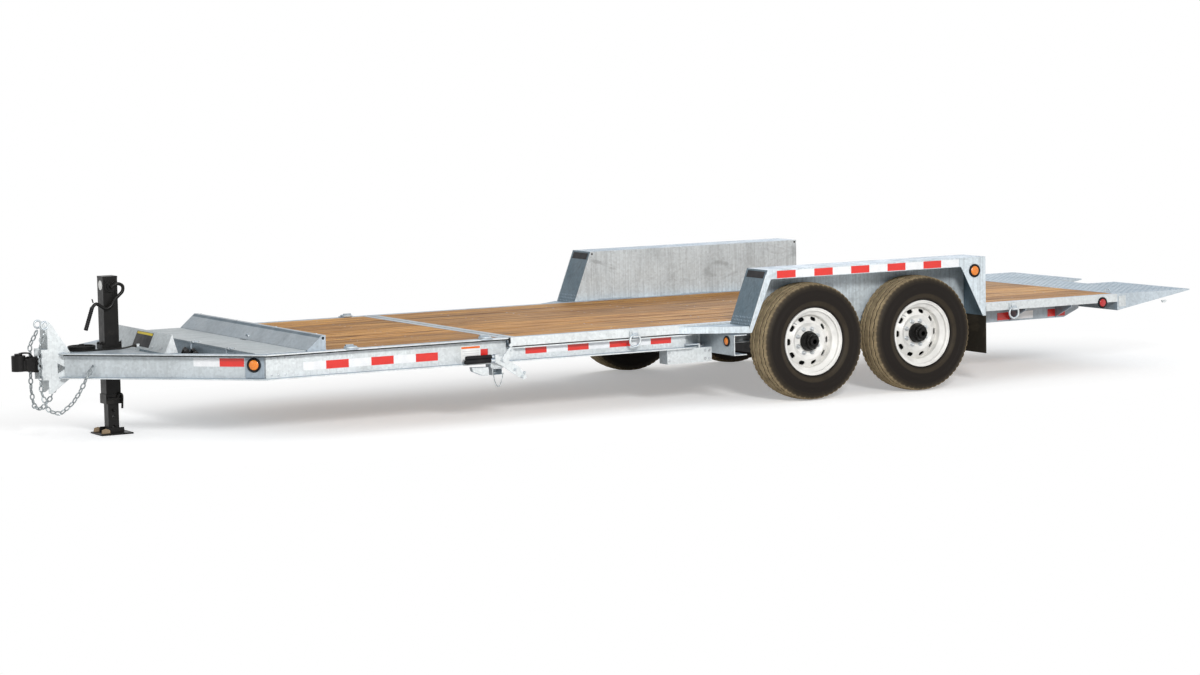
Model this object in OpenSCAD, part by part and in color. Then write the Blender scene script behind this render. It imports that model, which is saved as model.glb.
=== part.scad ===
// Drop-deck tilt trailer on two axles: a fixed front deck and a tilting bed between the wheels.
// X points forward to the coupler, Y to the left side, Z up; the ground is at z = 0.
// Inside the modules x = 0 is the split between fixed deck and bed; place() centres the part.

/* [Deck] */
// Height of the deck's top face above the ground
deck_top = 530; // [515:1:560]
// Width of the deck over its side rails
deck_w = 2076; // [1900:1:2140]
// Length of the boards on the fixed front deck
fixed_len = 1240; // [1000:10:1300]
// Length of the boards on the tilt bed
bed_len = 4780; // [4500:10:5000]
// Length of the steel tail behind the boards
tail_len = 640; // [500:10:800]
// Gap between the fixed deck and the bed
split_gap = 10; // [8:1:20]
// Thickness of the boards
plank_t = 38; // [32:1:42]
// Number of boards across the deck
plank_n = 11; // [8:1:14]
// Gap between two boards
plank_gap = 4; // [2:1:8]

/* [Main frame] */
// Depth of the main channel beside the fixed deck
rail_depth = 156; // [140:1:170]
// Width of a channel's flange
flange_w = 50; // [40:1:55]
// Thickness of a channel's web
web_t = 6; // [5:1:8]
// Thickness of a channel's flange
flange_t = 8; // [6:1:10]
// Where the frame bends in to the tongue
bend_x = 1650; // [1620:10:1800]
// Where the tongue rails end
nose_x = 2610; // [2560:10:2700]
// Half width over the tongue rails at their front end
nose_half = 105; // [95:1:130]
// How far the channels step in between the wheels
inboard_step = 126; // [108:1:158]
// Where the channels start to bend in, ahead of the wheels
kink_front_x = -1330; // [-1380:10:-1300]
// Where that bend ends
kink_rear_x = -1500; // [-1560:10:-1480]
// Rear end of the main frame
frame_rear_x = -3050; // [-3100:10:-3030]
// Gap between the main frame's channels and the bed's side rails
rest_gap = 8; // [7:1:12]

/* [Tilt bed] */
// Height of the bed's side rail
bed_rail_h = 55; // [50:1:60]
// Thickness of the bed's side rail
bed_rail_t = 6; // [5:1:8]
// Depth of the bed's two deep beams
beam_depth = 100; // [90:1:105]
// Length of the beams' slanted rear end
beam_slant = 130; // [100:10:160]
// Gap between beam and main channel at the pivot
beam_gap = 10; // [8:1:14]
// Place of the tilt pivot along the trailer
pivot_x = -2900; // [-2940:10:-2880]
// Height of the tilt pivot
pivot_z = 425; // [415:1:430]
// Radius of the pivot pin
pivot_r = 20; // [16:1:24]
// Running clearance around pins and spindles
run_gap = 0.08; // [0.05:0.01:0.1]
// Height of the tail's side plate at its front end
tail_h = 115; // [100:1:120]
// Width of the slot between the two tail ramps
slot_w = 380; // [300:10:450]
// Depth of that slot
slot_len = 240; // [200:10:300]

/* [Wheels] */
// Outer diameter of a tyre
tyre_od = 770; // [750:1:780]
// Width of a tyre
tyre_w = 224; // [210:1:228]
// Gap between the deck's side and a tyre
tyre_gap = 26; // [24:1:30]
// Diameter over the rim's flange
rim_d = 441; // [430:1:450]
// Place of the front axle's wheels
axle_x = -2119; // [-2130:1:-2100]
// Distance between the two axles
axle_gap = 858; // [850:1:880]
// Radius of a spindle
spindle_r = 20; // [16:1:24]
// Side of the square axle tube
axle_tube = 76; // [70:1:80]
// Height of the spindle above the axle tube's middle
arm_rise = 60; // [56:1:70]
// Distance of the spindle behind the axle tube
arm_back = 140; // [120:1:150]

/* [Fenders] */
// Height of the fender's top face above the deck
fender_h = 342; // [330:1:360]
// Width of a fender outside the deck's side
fender_w = 252; // [251:1:258]
// Front end of the fender's flat top
fender_front_x = -1758; // [-1765:1:-1740]
// Rear end of the fender
fender_rear_x = -3482; // [-3500:1:-3475]
// Length of the sloped front below the flat top
slope_run = 153; // [140:1:165]
// Length of the tread step ahead of the slope
step_len = 370; // [300:10:400]
// Thickness of the fender sheet
sheet_t = 4; // [3:1:5]
// Height of the skirt along the fender's top edge
skirt_h = 60; // [50:1:70]
// Gap between the fender's inner wall and the deck
wall_gap = 2; // [1:0.5:4]
// Length of the mud flap below the fender
flap_h = 255; // [200:1:270]

/* [Front end] */
// Height of the stop rail above the deck
stop_h = 92; // [80:1:110]
// Length of the stop rail's slope
stop_run = 100; // [80:1:110]
// Thickness of plates
plate_t = 6; // [5:1:8]
// Place of the jack along the tongue
jack_x = 2255; // [2240:5:2270]
// Side of the jack's outer tube
jack_tube = 95; // [90:1:100]
// Side of the jack's inner leg
jack_leg_w = 70; // [64:1:75]
// Height of the jack's top
jack_top = 982; // [950:1:1000]
// Diameter of the coupler's ball socket
ball_d = 58.7; // [50:0.1:60]
// Foremost point of the coupler
coupler_x = 2890; // [2870:1:2900]
// Diameter of a chain's wire
chain_d = 9; // [8:0.5:10]

/* [Cushion cylinder] */
// Radius of the cushion cylinder's barrel
barrel_r = 28; // [24:1:32]
// Radius of its rod
rod_r = 12; // [10:1:14]
// Place of its lower eye along the trailer
eye_low_x = -1200; // [-1210:5:-1190]
// Height of its lower eye
eye_low_z = 290; // [280:1:295]
// Place of its rod's eye along the trailer
eye_high_x = -760; // [-770:5:-750]
// Height of its rod's eye
eye_high_z = 400; // [395:1:404]

/* [Hidden] */
$fn = 48;

galvanised = "#c3ccd2";
black_paint = "#222222";
wood = "#b0763f";
white_paint = "#ecebe6";
rubber = "#2a2824";
amber = "#e8930c";
red_lens = "#c01818";

half_w = deck_w / 2;
web_y = half_w - flange_w;                  // outer face of the main channel's web
inboard_half = half_w - inboard_step;       // over the channels between the wheels
rail_bot = deck_top - rail_depth;
bed_bot = deck_top - bed_rail_h;            // underside of the bed's side rails
low_top = bed_bot - rest_gap;               // top of the main channel under the bed
plank_bot = deck_top - plank_t;
bed_front_x = -split_gap;
wood_end_x = bed_front_x - bed_len;
tail_x = wood_end_x - tail_len;
mid_x = (coupler_x + tail_x) / 2;
beam_y = inboard_half - flange_w - web_t - beam_gap;   // outer face of a bed beam
beam_bot = bed_bot - beam_depth;
joist_h = 62;                               // depth of a joist below the boards
joist_w = 50;
low_cross_h = 46;                           // height of the cross tubes under the bed
wheel_y = half_w + tyre_gap + tyre_w / 2;   // middle plane of a wheel
wheel_z = tyre_od / 2;
axle_z = wheel_z - arm_rise;
rear_axle_x = axle_x - axle_gap;
tyre_in = wheel_y - tyre_w / 2;
fender_top = deck_top + fender_h;
fender_half = half_w + fender_w;
fender_in = half_w + wall_gap;
slope_bot = bed_bot;                        // lower end of the fender's front slope
fit = 0.3;                                  // seat clearance between loose pieces
eps = 0.01;

// Corner points of the left channel's outer edge in plan, from the rear end to the tongue
rail_path = [[frame_rear_x, inboard_half], [kink_rear_x, inboard_half], [kink_front_x, half_w],
    [0, half_w], [bend_x, half_w], [nose_x, nose_half]];

function heading(p, q) = atan2(q[1] - p[1], q[0] - p[0]);
// Point i of the path moved inwards by d, on the mitre of its two neighbours
function inset(i, d) =
    let (last = len(rail_path) - 1,
         before = heading(rail_path[max(i - 1, 0)], rail_path[max(i, 1)]),
         after = heading(rail_path[min(i, last - 1)], rail_path[min(i + 1, last)]),
         mean = (before + after) / 2)
    rail_path[i] + d / cos((after - before) / 2) * [sin(mean), -cos(mean)];

module place() translate([-mid_x, 0, 0]) children();
module both_sides() { children(); mirror([0, 1, 0]) children(); }
module right() mirror([0, 1, 0]) children();
// Box between two corners
module block(a, b) translate(a) cube(b - a);
// Cylinder along Y between y0 and y1
module bar_y(r, x, z, y0, y1) translate([x, y1, z]) rotate([90, 0, 0]) cylinder(r = r, h = y1 - y0);
// Cylinder along X between x0 and x1
module bar_x(r, y, z, x0, x1) translate([x0, y, z]) rotate([0, 90, 0]) cylinder(r = r, h = x1 - x0);
// Side profile in X and Z, extruded along Y between y0 and y1
module slab_y(y0, y1, points) translate([0, y1, 0]) rotate([90, 0, 0]) linear_extrude(y1 - y0)
    polygon(points);

// Strip of the rail path between points i0 and i1, from inset d0 to inset d1
module band(i0, i1, d0, d1)
    polygon(concat([for (i = [i0:i1]) inset(i, d0)], [for (i = [i1:-1:i0]) inset(i, d1)]));
// Channel with its flanges outwards along the rail path
module channel_run(i0, i1, z0, z1) {
    translate([0, 0, z0]) linear_extrude(z1 - z0) band(i0, i1, flange_w, flange_w + web_t);
    for (z = [z0, z1 - flange_t])
        translate([0, 0, z]) linear_extrude(flange_t) band(i0, i1, 0, flange_w + web_t);
}

// Main frame
// Both the deep channel beside the fixed deck and the low one under the bed
module main_rail() color(galvanised) place() {
    channel_run(3, 4, rail_bot, deck_top);
    difference() {
        channel_run(0, 3, rail_bot, low_top);
        // the top falls away behind the pivot, so that the tilted bed clears it
        slab_y(0, half_w, [[pivot_x, low_top + eps], [frame_rear_x - 1, low_top + eps],
            [frame_rear_x - 1, low_top - (pivot_x - frame_rear_x) * tan(tilt_relief)]]);
    }
    // pivot pin, welded through the web
    bar_y(pivot_r, pivot_x, pivot_z, beam_y - bed_flange, beam_y + beam_gap + eps);
    bar_y(pivot_r * 1.6, pivot_x, pivot_z, inboard_half - flange_w, inboard_half - flange_w + 12);
    // brackets down to the two axle tubes
    for (x = axle_tubes) block([x - bracket_w / 2, beam_y + beam_gap, axle_z + axle_tube / 2],
        [x + bracket_w / 2, inboard_half, rail_bot]);
    outrigger();
    splice_plate();
}
tilt_relief = 13;                           // slope of the relieved rail end, over the bed's tilt
bed_flange = 44;                            // flange of a bed beam, inwards
bracket_w = 160;
axle_tubes = [axle_x + arm_back, rear_axle_x + arm_back];

// Arm ahead of the wheel that carries the bed's step, with its web forwards
outrigger_front_x = kink_rear_x;
outrigger_len = 95;
outrigger_out = fender_half - 6;
module outrigger() {
    y0 = inboard_half - flange_w;
    block([outrigger_front_x - web_t, y0, rail_bot - 40], [outrigger_front_x, outrigger_out, low_top]);
    for (z = [rail_bot - 40, low_top - web_t])
        block([outrigger_front_x - outrigger_len, inboard_half, z],
            [outrigger_front_x, outrigger_out, z + web_t]);
}
// Plate over the joint of the rail and the tongue, outside the web
module splice_plate()
    block([bend_x - splice_len, web_y, rail_bot + flange_t],
        [bend_x - 8, web_y + plate_t, deck_top - flange_t]);
splice_len = 155;

module tongue_rail() color(galvanised) place() channel_run(4, 5, rail_bot, deck_top);

// Cross members: joists under the fixed deck, low tubes under the bed, the jack's seat
low_tubes = [-350, eye_low_x - joist_w / 2, kink_front_x - 85];
module main_crossmembers() color(galvanised) place() {
    inner = web_y - web_t;
    // edge angle at the split
    block([0, -inner, rail_bot + flange_t], [web_t, inner, deck_top]);
    block([0, -inner, deck_top - web_t], [edge_w, inner, deck_top]);
    for (x = fixed_joists)
        block([x, -inner, plank_bot - joist_h], [x + joist_w, inner, plank_bot]);
    for (x = low_tubes)
        block([x, -inner_at(x), rail_bot + 2], [x + joist_w, inner_at(x), rail_bot + low_cross_h]);
    // lugs of the cushion cylinder's lower eye
    for (s = [-1, 1]) difference() {
        slab_y(s * lug_y - plate_t / 2, s * lug_y + plate_t / 2, [[eye_low_x - 35, rail_bot + 2],
            [eye_low_x - 25, eye_low_z - 28], [eye_low_x + 25, eye_low_z - 28],
                [eye_low_x + 35, rail_bot + 2]]);
        bar_y(eye_r + run_gap, eye_low_x, eye_low_z, -100, 100);
    }
    // seat of the jack between the tongue rails
    jack_seat();
}
edge_w = 50;                                // steel strip along the split
lug_y = barrel_r + 6;                       // middle of a lug beside the eye
eye_r = 10;
fixed_joists = [for (i = [1:3]) edge_w + i * (fixed_len - edge_w - joist_w) / 3];
// Inner face of the low channel's web between x and x + joist_w
web_line = [for (i = [0:3]) inset(i, flange_w + web_t)];
function inner_at(x) = min(lookup(x, web_line), lookup(x + joist_w, web_line));
// Inner face of the tongue channel's web at x
function tongue_inner(x) = let (a = inset(4, flange_w + web_t), b = inset(5, flange_w + web_t))
    a[1] + (b[1] - a[1]) * (x - a[0]) / (b[0] - a[0]);
// Outer face of the tongue channel's web at x
function tongue_outer(x) = let (a = inset(4, flange_w), b = inset(5, flange_w))
    a[1] + (b[1] - a[1]) * (x - a[0]) / (b[0] - a[0]);
module jack_seat() {
    x0 = jack_x - jack_tube / 2 - 40;
    x1 = jack_x + jack_tube / 2 + 40;
    difference() {
        for (z = [rail_bot + flange_t, deck_top - web_t])
            translate([0, 0, z]) linear_extrude(web_t) polygon([[x0, -tongue_inner(x0)],
                [x1, -tongue_inner(x1)],
                [x1, tongue_inner(x1)], [x0, tongue_inner(x0)]]);
        block([jack_x - jack_tube / 2 - fit, -jack_tube / 2 - fit, 0],
            [jack_x + jack_tube / 2 + fit, jack_tube / 2 + fit, jack_top]);
    }
    for (x = [x0, x1 - web_t])
        block([x, -tongue_inner(x + web_t), rail_bot + flange_t],
            [x + web_t, tongue_inner(x + web_t), deck_top]);
    // plate from the seat to the nose, which the coiled harness lies on
    translate([0, 0, deck_top - web_t]) linear_extrude(web_t)
        polygon([[x1 - eps, -tongue_inner(x1)], [plate_front_x, -tongue_inner(plate_front_x)],
            [plate_front_x, tongue_inner(plate_front_x)], [x1 - eps, tongue_inner(x1)]]);
}

// Nose of the tongue: side gussets, the coupler's upright channel and the chain holders
nose_plate_x = nose_x + 70;
gusset_len = 145;                           // from the upright plate back along the rails
plate_front_x = nose_plate_x - gusset_len - 2;
nose_y = inset(5, flange_w + web_t)[1] - fit;
nose_top = deck_top + 190;
nose_bot = rail_bot - 92;
module tongue_nose() color(galvanised) place() {
    both_sides() difference() {
        slab_y(nose_y - plate_t, nose_y, [[nose_plate_x - 20, nose_top],
            [nose_plate_x - gusset_len, deck_top],
            [nose_plate_x - gusset_len, rail_bot], [nose_plate_x - 20, nose_bot],
                [nose_plate_x, nose_bot], [nose_plate_x, nose_top]]);
        slab_y(nose_y - plate_t - 1, nose_y + 1, [[nose_plate_x - 60, rail_bot + 30],
            [nose_plate_x - 118, rail_bot + 62],
            [nose_plate_x - 60, rail_bot + 94]]);
    }
    // upright channel with the row of coupler holes
    difference() {
        block([nose_plate_x, -nose_y, rail_bot - 6], [nose_plate_x + 8, nose_y, deck_top + 26]);
        for (z = bolt_rows) bar_x(bolt_r, 0, z, nose_plate_x - 1, nose_plate_x + 9);
    }
    both_sides() block([nose_plate_x + 8, nose_y - 8, rail_bot - 6],
        [nose_plate_x + 42, nose_y, deck_top + 26]);
    // eyes at the top that hold the chains' hooks
    both_sides() translate([nose_plate_x + 14, nose_y - plate_t / 2, nose_top - 16]) rotate([90, 0, 0])
        rotate_extrude() translate([22, 0]) circle(r = 6, $fn = 16);
}
bolt_r = 9;
bolt_step = 64;
coupler_z = 462;
bolt_rows = [for (i = [-1:1]) coupler_z + i * bolt_step];

// Cast ball coupler bolted into the channel
module coupler() color(black_paint) place() {
    x0 = nose_plate_x + 8 + fit;
    difference() {
        union() {
            block([x0, -nose_y + 8 + fit, coupler_z - 46], [x0 + 36, nose_y - 8 - fit, coupler_z + 46]);
            bar_x(38, 0, coupler_z, x0 + 30, ball_x);
            translate([ball_x, 0, coupler_z - 34]) cylinder(r = ball_d / 2 + 14, h = 96);
            translate([ball_x, 0, coupler_z + 62]) cylinder(r = 24, h = 12);
        }
        translate([ball_x, 0, coupler_z]) sphere(d = ball_d);
        translate([ball_x, 0, coupler_z - 35]) cylinder(d = ball_d, h = 35);
    }
}
ball_x = coupler_x - ball_d / 2 - 14;

// Safety chains: each hangs from a tongue rail in a curve and hooks up at the nose
chain_pitch = 34;
chain_w = 3.7 * chain_d;                      // width over a link
chain_x = 2446;                             // where a chain is welded to its rail
link_slack = 0.6;                           // play between two links
// Way points of the left chain's middle line, hung by hand: x, y, z
chain_way = [[chain_x, tongue_outer(chain_x) + 16, 448], [2500, tongue_outer(2500) + 107.8, 392],
    [2535, 215, 300], [2580, 190, 225], [2650, 165, 166],
    [2712, 125, 185], [2740, 92, 300], [2740, 86, 575], [2699, 61, 664]];
function lengths(way, i = 1, sum = 0) = i >= len(way) ? [sum]
    : concat([sum], lengths(way, i + 1, sum + norm(way[i] - way[i - 1])));
chain_run = lengths(chain_way);
// Point at distance s along the chain
function chain_at(s) = let (i = max([for (k = [0:len(chain_way) - 2]) if (chain_run[k] <= s + eps) k]),
    t = (s - chain_run[i]) / (chain_run[i + 1] - chain_run[i]))
    chain_way[i] + t * (chain_way[i + 1] - chain_way[i]);
// Link as a flat ring of bar with cut corners, its length outside to outside
module chain_link(length, width) linear_extrude(chain_d, center = true) difference() {
    link_outline(length / 2, width / 2);
    link_outline(length / 2 - chain_d, width / 2 - chain_d);
}
module link_outline(a, b) polygon([for (s = [1, -1])
    each [s * [a, -b * 0.4], s * [a, b * 0.4], s * [a - b * 0.6, b],
    s * [b * 0.6 - a, b]]]);
module chain() {
    total = chain_run[len(chain_way) - 1];
    n = round(total / chain_pitch);
    step = total / n;
    for (k = [0:n - 1]) {
        a = chain_at(k * step);
        b = chain_at((k + 1) * step - eps);
        d = b - a;
        translate((a + b) / 2) rotate([0, -asin(d[2] / norm(d)), atan2(d[1], d[0])])
            rotate([k % 2 == 0 ? 45 : -45, 0, 0]) chain_link(step + 2 * chain_d + link_slack, chain_w);
    }
}
module safety_chains() color("#8f9498") place() both_sides() chain();

// Drop-leg jack
module jack_tube() color(black_paint) place() {
    difference() {
        union() {
            block([jack_x - jack_tube / 2, -jack_tube / 2, jack_bot],
                [jack_x + jack_tube / 2, jack_tube / 2, jack_top]);
            block([jack_x - jack_tube / 2 - 5, -jack_tube / 2 - 5, jack_bot],
                [jack_x + jack_tube / 2 + 5, jack_tube / 2 + 5, jack_bot + 60]);
        }
        block([jack_x - jack_leg_w / 2 - leg_gap, -jack_leg_w / 2 - leg_gap, jack_bot - 1],
            [jack_x + jack_leg_w / 2 + leg_gap, jack_leg_w / 2 + leg_gap, jack_top - 8]);
    }
    // gearbox cover and the plates that bolt the jack to the tongue
    bar_y(26, jack_x, crank_z, jack_tube / 2, jack_tube / 2 + 16);
    for (s = [-1, 1]) block([jack_x + s * (jack_tube / 2 + 8) - 8, -jack_tube / 2, deck_top + fit],
        [jack_x + s * (jack_tube / 2 + 8) + 8, jack_tube / 2, deck_top + 30]);
}
jack_bot = 190;
crank_z = 919;
leg_gap = 0.5;                              // sliding gap around the leg
jack_foot_t = 10;
module jack_leg() color(black_paint) place() {
    difference() {
        block([jack_x - jack_leg_w / 2, -jack_leg_w / 2, jack_foot_t],
            [jack_x + jack_leg_w / 2, jack_leg_w / 2, 420]);
        for (z = [45, 110]) bar_y(10, jack_x, z, -jack_leg_w, jack_leg_w);
    }
    block([jack_x - 105, -95, 0], [jack_x + 105, 95, jack_foot_t]);
    for (s = [-1, 1]) block([jack_x - 60, s * 50 - 4, jack_foot_t], [jack_x + 60, s * 50 + 4, 42]);
}
// Folded crank handle on the jack's left side
module jack_crank() color(black_paint) place() {
    y0 = jack_tube / 2 + 16 + fit;
    y1 = y0 + 34;
    bar_y(12, jack_x, crank_z, y0, y1 + 8);
    hull() {
        bar_y(9, jack_x, crank_z, y1 - 8, y1 + 8);
        bar_y(9, jack_x + 130, crank_z - 105, y1 - 8, y1 + 8);
    }
    hull() {
        bar_y(11, jack_x + 130, crank_z - 105, y1 - 10, y1 + 10);
        bar_y(11, jack_x + 182, crank_z - 262, y1 - 10, y1 + 10);
    }
}

// Bent stop rail with end gussets ahead of the fixed deck
stop_back_x = fixed_len + 4;
module stop_rail() color(galvanised) place() {
    w = web_y + 12;
    x1 = stop_back_x + 24;
    difference() {
        slab_y(-w + plate_t, w - plate_t, [[stop_back_x, deck_top], [stop_back_x, deck_top + stop_h],
            [x1, deck_top + stop_h],
            [x1 + stop_run, deck_top + plate_t], [x1 + stop_run, deck_top]]);
        slab_y(-w, w, [[stop_back_x + plate_t, deck_top - 1],
            [stop_back_x + plate_t, deck_top + stop_h - plate_t],
            [x1 - 3, deck_top + stop_h - plate_t], [x1 + stop_run - 9, deck_top - 1]]);
    }
    both_sides() difference() {
        slab_y(w - plate_t, w, [[stop_back_x, deck_top], [stop_back_x, deck_top + stop_h],
            [x1, deck_top + stop_h],
            [x1 + stop_run, deck_top + plate_t], [x1 + stop_run, deck_top]]);
        bar_y(9, stop_back_x + 18, deck_top + stop_h - 18, w - plate_t - 1, w + 1);
    }
}

// Toolbox between the tongue rails, and its lid hinged at the front edge
lid_back_x = stop_back_x + 24 + stop_run + 4;
lid_front_x = bend_x + 52;
lid_t = 4;
lid_gap = 1;
hinge_z = deck_top + lid_gap + lid_t;
box_bot = rail_bot + 10;
module toolbox() color(galvanised) place() {
    inner = web_y - web_t - fit;
    front = lid_front_x - 8;
    yf = tongue_inner(front) - fit * 2;
    outer = [[lid_back_x, -inner], [inset(4, flange_w + web_t)[0], -inner], [front, -yf], [front, yf],
        [inset(4, flange_w + web_t)[0], inner], [lid_back_x, inner]];
    k = 3;
    shell = [[lid_back_x + k, -inner + k], [inset(4, flange_w + web_t)[0] - k / 2, -inner + k],
        [front - k, -yf + k * 0.4],
        [front - k, yf - k * 0.4], [inset(4, flange_w + web_t)[0] - k / 2, inner - k],
            [lid_back_x + k, inner - k]];
    difference() {
        translate([0, 0, box_bot]) linear_extrude(deck_top - box_bot) polygon(outer);
        translate([0, 0, box_bot + k]) linear_extrude(deck_top) polygon(shell);
    }
    // hinge brackets
    for (y = hinge_rows) block([front, y - 30, deck_top - 40], [lid_front_x + 6, y - 16, hinge_z - 2]);
}
hinge_rows = [-560, 0, 560];
module toolbox_lid() color(galvanised) place() {
    front = lid_front_x - 8;
    yf = tongue_inner(front) + 40;
    translate([0, 0, deck_top + lid_gap]) linear_extrude(lid_t)
        polygon([[lid_back_x, -web_y], [bend_x - 14, -web_y], [front, -yf], [front, yf],
            [bend_x - 14, web_y], [lid_back_x, web_y]]);
    for (y = hinge_rows) {
        bar_y(5, lid_front_x, hinge_z + 4, y - 12, y + 12);
        block([front - 4, y - 12, deck_top + lid_gap], [lid_front_x, y + 12, deck_top + lid_gap + lid_t]);
    }
}

// Boards of one deck between x0 and x1
module boards(x0, x1, w) {
    board_w = (w - (plank_n - 1) * plank_gap) / plank_n;
    for (i = [0:plank_n - 1]) {
        y = -w / 2 + i * (board_w + plank_gap);
        block([x0, y, plank_bot], [x1, y + board_w, deck_top]);
    }
}
module front_planks() color(wood) place() boards(edge_w + 1, fixed_len, 2 * (web_y - web_t) - 2);

// Angled guard plate across the tongue, behind the jack
guard_x = jack_x - 150;
guard_run = 50;
guard_h = 112;
guard_half = tongue_inner(guard_x) + 30;
module hose_guard() color(galvanised) place() {
    slab_y(-guard_half, guard_half, [[guard_x, deck_top], [guard_x - guard_run, deck_top + guard_h],
        [guard_x - guard_run + 5, deck_top + guard_h], [guard_x + 5, deck_top]]);
    slab_y(-guard_half, guard_half, [[guard_x - guard_run, deck_top + fit],
        [guard_x - guard_run, deck_top + 5], [guard_x - 4, deck_top + 5],
        [guard_x, deck_top + fit]]);
    for (y = [-guard_half, -120, guard_half - plate_t])
        slab_y(y, y + plate_t, [[guard_x - 2, deck_top + fit],
            [guard_x - guard_run + 2, deck_top + guard_h - 4], [guard_x - guard_run - 30, deck_top + fit]]);
    // socket that the harness comes out of
    bar_x(socket_r, cord_route[0][1], cord_route[0][2], guard_x - 13, cord_route[0][0]);
}

// Harness cord: out of a socket in the guard, along the tongue's plate and into a coil round its plug
cord_d = 10;
cord_z = deck_top + fit + cord_d / 2;
socket_r = 12;
coil_x = 2436;
coil_turns_r = [72, 82];                    // middle lines of the coil's inner and outer turns
coil_layers = 3;
// Way points of the lead by hand: x, y, height above a lying cord
cord_way = [[2120, 105, 12], [2142, 105, 12], [2165, 105, 7], [2190, 104, 3], [2220, 102, 0.5],
    [2250, 100, 0],
    [2280, 98, 0], [2310, 95, 0], [2340, 92, 0], [2370, 88, 0], [2395, 85, 0], [2415, 83, 0], [2436, 82, 0]];
cord_route = [for (p = cord_way) [p[0], p[1], cord_z + p[2]]];
function cord_ring(way, i, sides) =
    let (way_on = way[min(i + 1, len(way) - 1)] - way[max(i - 1, 0)], ahead = way_on / norm(way_on),
         flat = cross([0, 0, 1], ahead), side = flat / norm(flat), up = cross(ahead, side))
    [for (k = [0:sides - 1]) way[i] + cord_d / 2 * (side * cos(k * 360 / sides) + up * sin(k * 360 / sides))];
module sweep(way, sides = 10) polyhedron([for (i = [0:len(way) - 1]) each cord_ring(way, i, sides)],
    concat([[for (k = [0:sides - 1]) k]],
        [for (i = [0:len(way) - 2]) for (k = [0:sides - 1])
            let (j = (k + 1) % sides, a = i * sides, b = a + sides)
            each [[a + k, b + k, b + j], [a + k, b + j, a + j]]],
        [[for (k = [sides - 1:-1:0]) (len(way) - 1) * sides + k]]));
module harness_lead() color(rubber) place() sweep(cord_route);
module harness_coil() color(rubber) place() translate([coil_x, 0, deck_top + fit]) difference() {
    cylinder(r = coil_turns_r[1] + cord_d / 2, h = coil_layers * cord_d);
    translate([0, 0, -1]) cylinder(r = coil_turns_r[0] - cord_d / 2, h = coil_layers * cord_d + 2);
}
plug_r = 19;
plug_len = 56;
plug_y = -30;
module harness_plug() color(rubber) place()
    bar_x(plug_r, plug_y, deck_top + fit + plug_r, coil_x - plug_len / 2, coil_x + plug_len / 2);

// Latch between fixed deck and bed on the left rail
module bed_latch() color(galvanised) place() {
    y0 = web_y + fit;
    y1 = half_w + 3;
    block([30, y0, rail_bot + flange_t + fit], [130, y0 + plate_t, rail_bot + 92]);
    // cam plate, outside the flange
    slab_y(y1, y1 + 6, [[130, rail_bot + 40], [60, rail_bot + 44], [-60, rail_bot - 30],
        [-116, rail_bot - 98], [-92, rail_bot - 112], [-20, rail_bot - 74], [60, rail_bot - 18],
            [126, rail_bot + 12]]);
    bar_y(12, 100, rail_bot + 30, y0, y1 + 14);
    for (hole = [[-30, -46], [-80, -92], [-96, -70]])
        bar_y(9, hole[0], rail_bot + hole[1], y1, y1 + 14);
    // two levers with round grips; columns: height above the rail's foot, distance outside the cam plate
    for (row = [[46, 16], [24, 26]])
        bar_x(11, y1 + row[1], rail_bot + row[0], 100, 320);
    block([100, y1 + 6, rail_bot + 10], [124, y1 + 38, rail_bot + 60]);
}

// Flat rings on the fixed deck's rails
module flat_ring(x, y) {
    translate([x, y, deck_top + 9]) rotate_extrude() translate([34, 0]) circle(r = 7, $fn = 16);
    block([x - 44, y - 20, deck_top + fit], [x - 28, y + 20, deck_top + 6]);
}
ring_y = half_w - 26;
module front_tie_rings() color(galvanised) place() both_sides()
    for (x = flat_ring_xs) flat_ring(x, ring_y);
flat_ring_xs = [fixed_len - 155, 160];

// Side marker lamps on the tongue rails, just ahead of the bend
lamp_r = 32;
lamp_ring_r = 46;
module lamp_disc(r0, depth) rotate([-90, 0, 0]) cylinder(r = r0, h = depth);
module front_lamps() color(amber) place() both_sides() {
    a = heading(rail_path[4], rail_path[5]);
    translate([inset(4, flange_w)[0], inset(4, flange_w)[1], 0]) rotate([0, 0, a])
        translate([68, fit, deck_top - 72]) lamp_disc(lamp_r, 22);
}

// Axle with square tube, trailing arms and spindles
module axle(x) color(black_paint) place() {
    tube_x = x + arm_back;
    arm_y = tyre_in - 28;
    block([tube_x - axle_tube / 2, -arm_y + 26, axle_z - axle_tube / 2],
        [tube_x + axle_tube / 2, arm_y - 26, axle_z + axle_tube / 2]);
    both_sides() {
        difference() {
            hull() {
                bar_y(34, tube_x, axle_z, arm_y - 26, arm_y);
                bar_y(30, x, wheel_z, arm_y - 26, arm_y);
            }
            bar_y(8, tube_x, axle_z, arm_y - 5, arm_y + 1);
        }
        bar_y(spindle_r, x, wheel_z, arm_y - eps, wheel_y + 60);
        bar_y(spindle_r + 14, x, wheel_z, arm_y - eps, tyre_in - 8);
    }
}

// Flat steel box with a lever, hung under the left rail
module side_box() color(galvanised) place() {
    lever_x = kink_front_x - 75;
    lever_y = web_y + 14;
    block([outrigger_front_x + fit, web_y - 83, rail_bot - 96],
        [kink_front_x + 165, web_y + 17, rail_bot - fit]);
    block([lever_x - 6, lever_y - 6, rail_bot - 1], [lever_x + 6, lever_y + 6, rail_bot + 26]);
    bar_x(6, lever_y, rail_bot + 22, lever_x, lever_x + 105);
}

// Tilt bed
bed_end_x = wood_end_x;
module bed_rail() color(galvanised) place() {
    block([bed_end_x, half_w - bed_rail_t, bed_bot], [bed_front_x, half_w, deck_top]);
    block([bed_end_x, web_y, deck_top - bed_rail_t], [bed_front_x, half_w, deck_top]);
}
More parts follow.
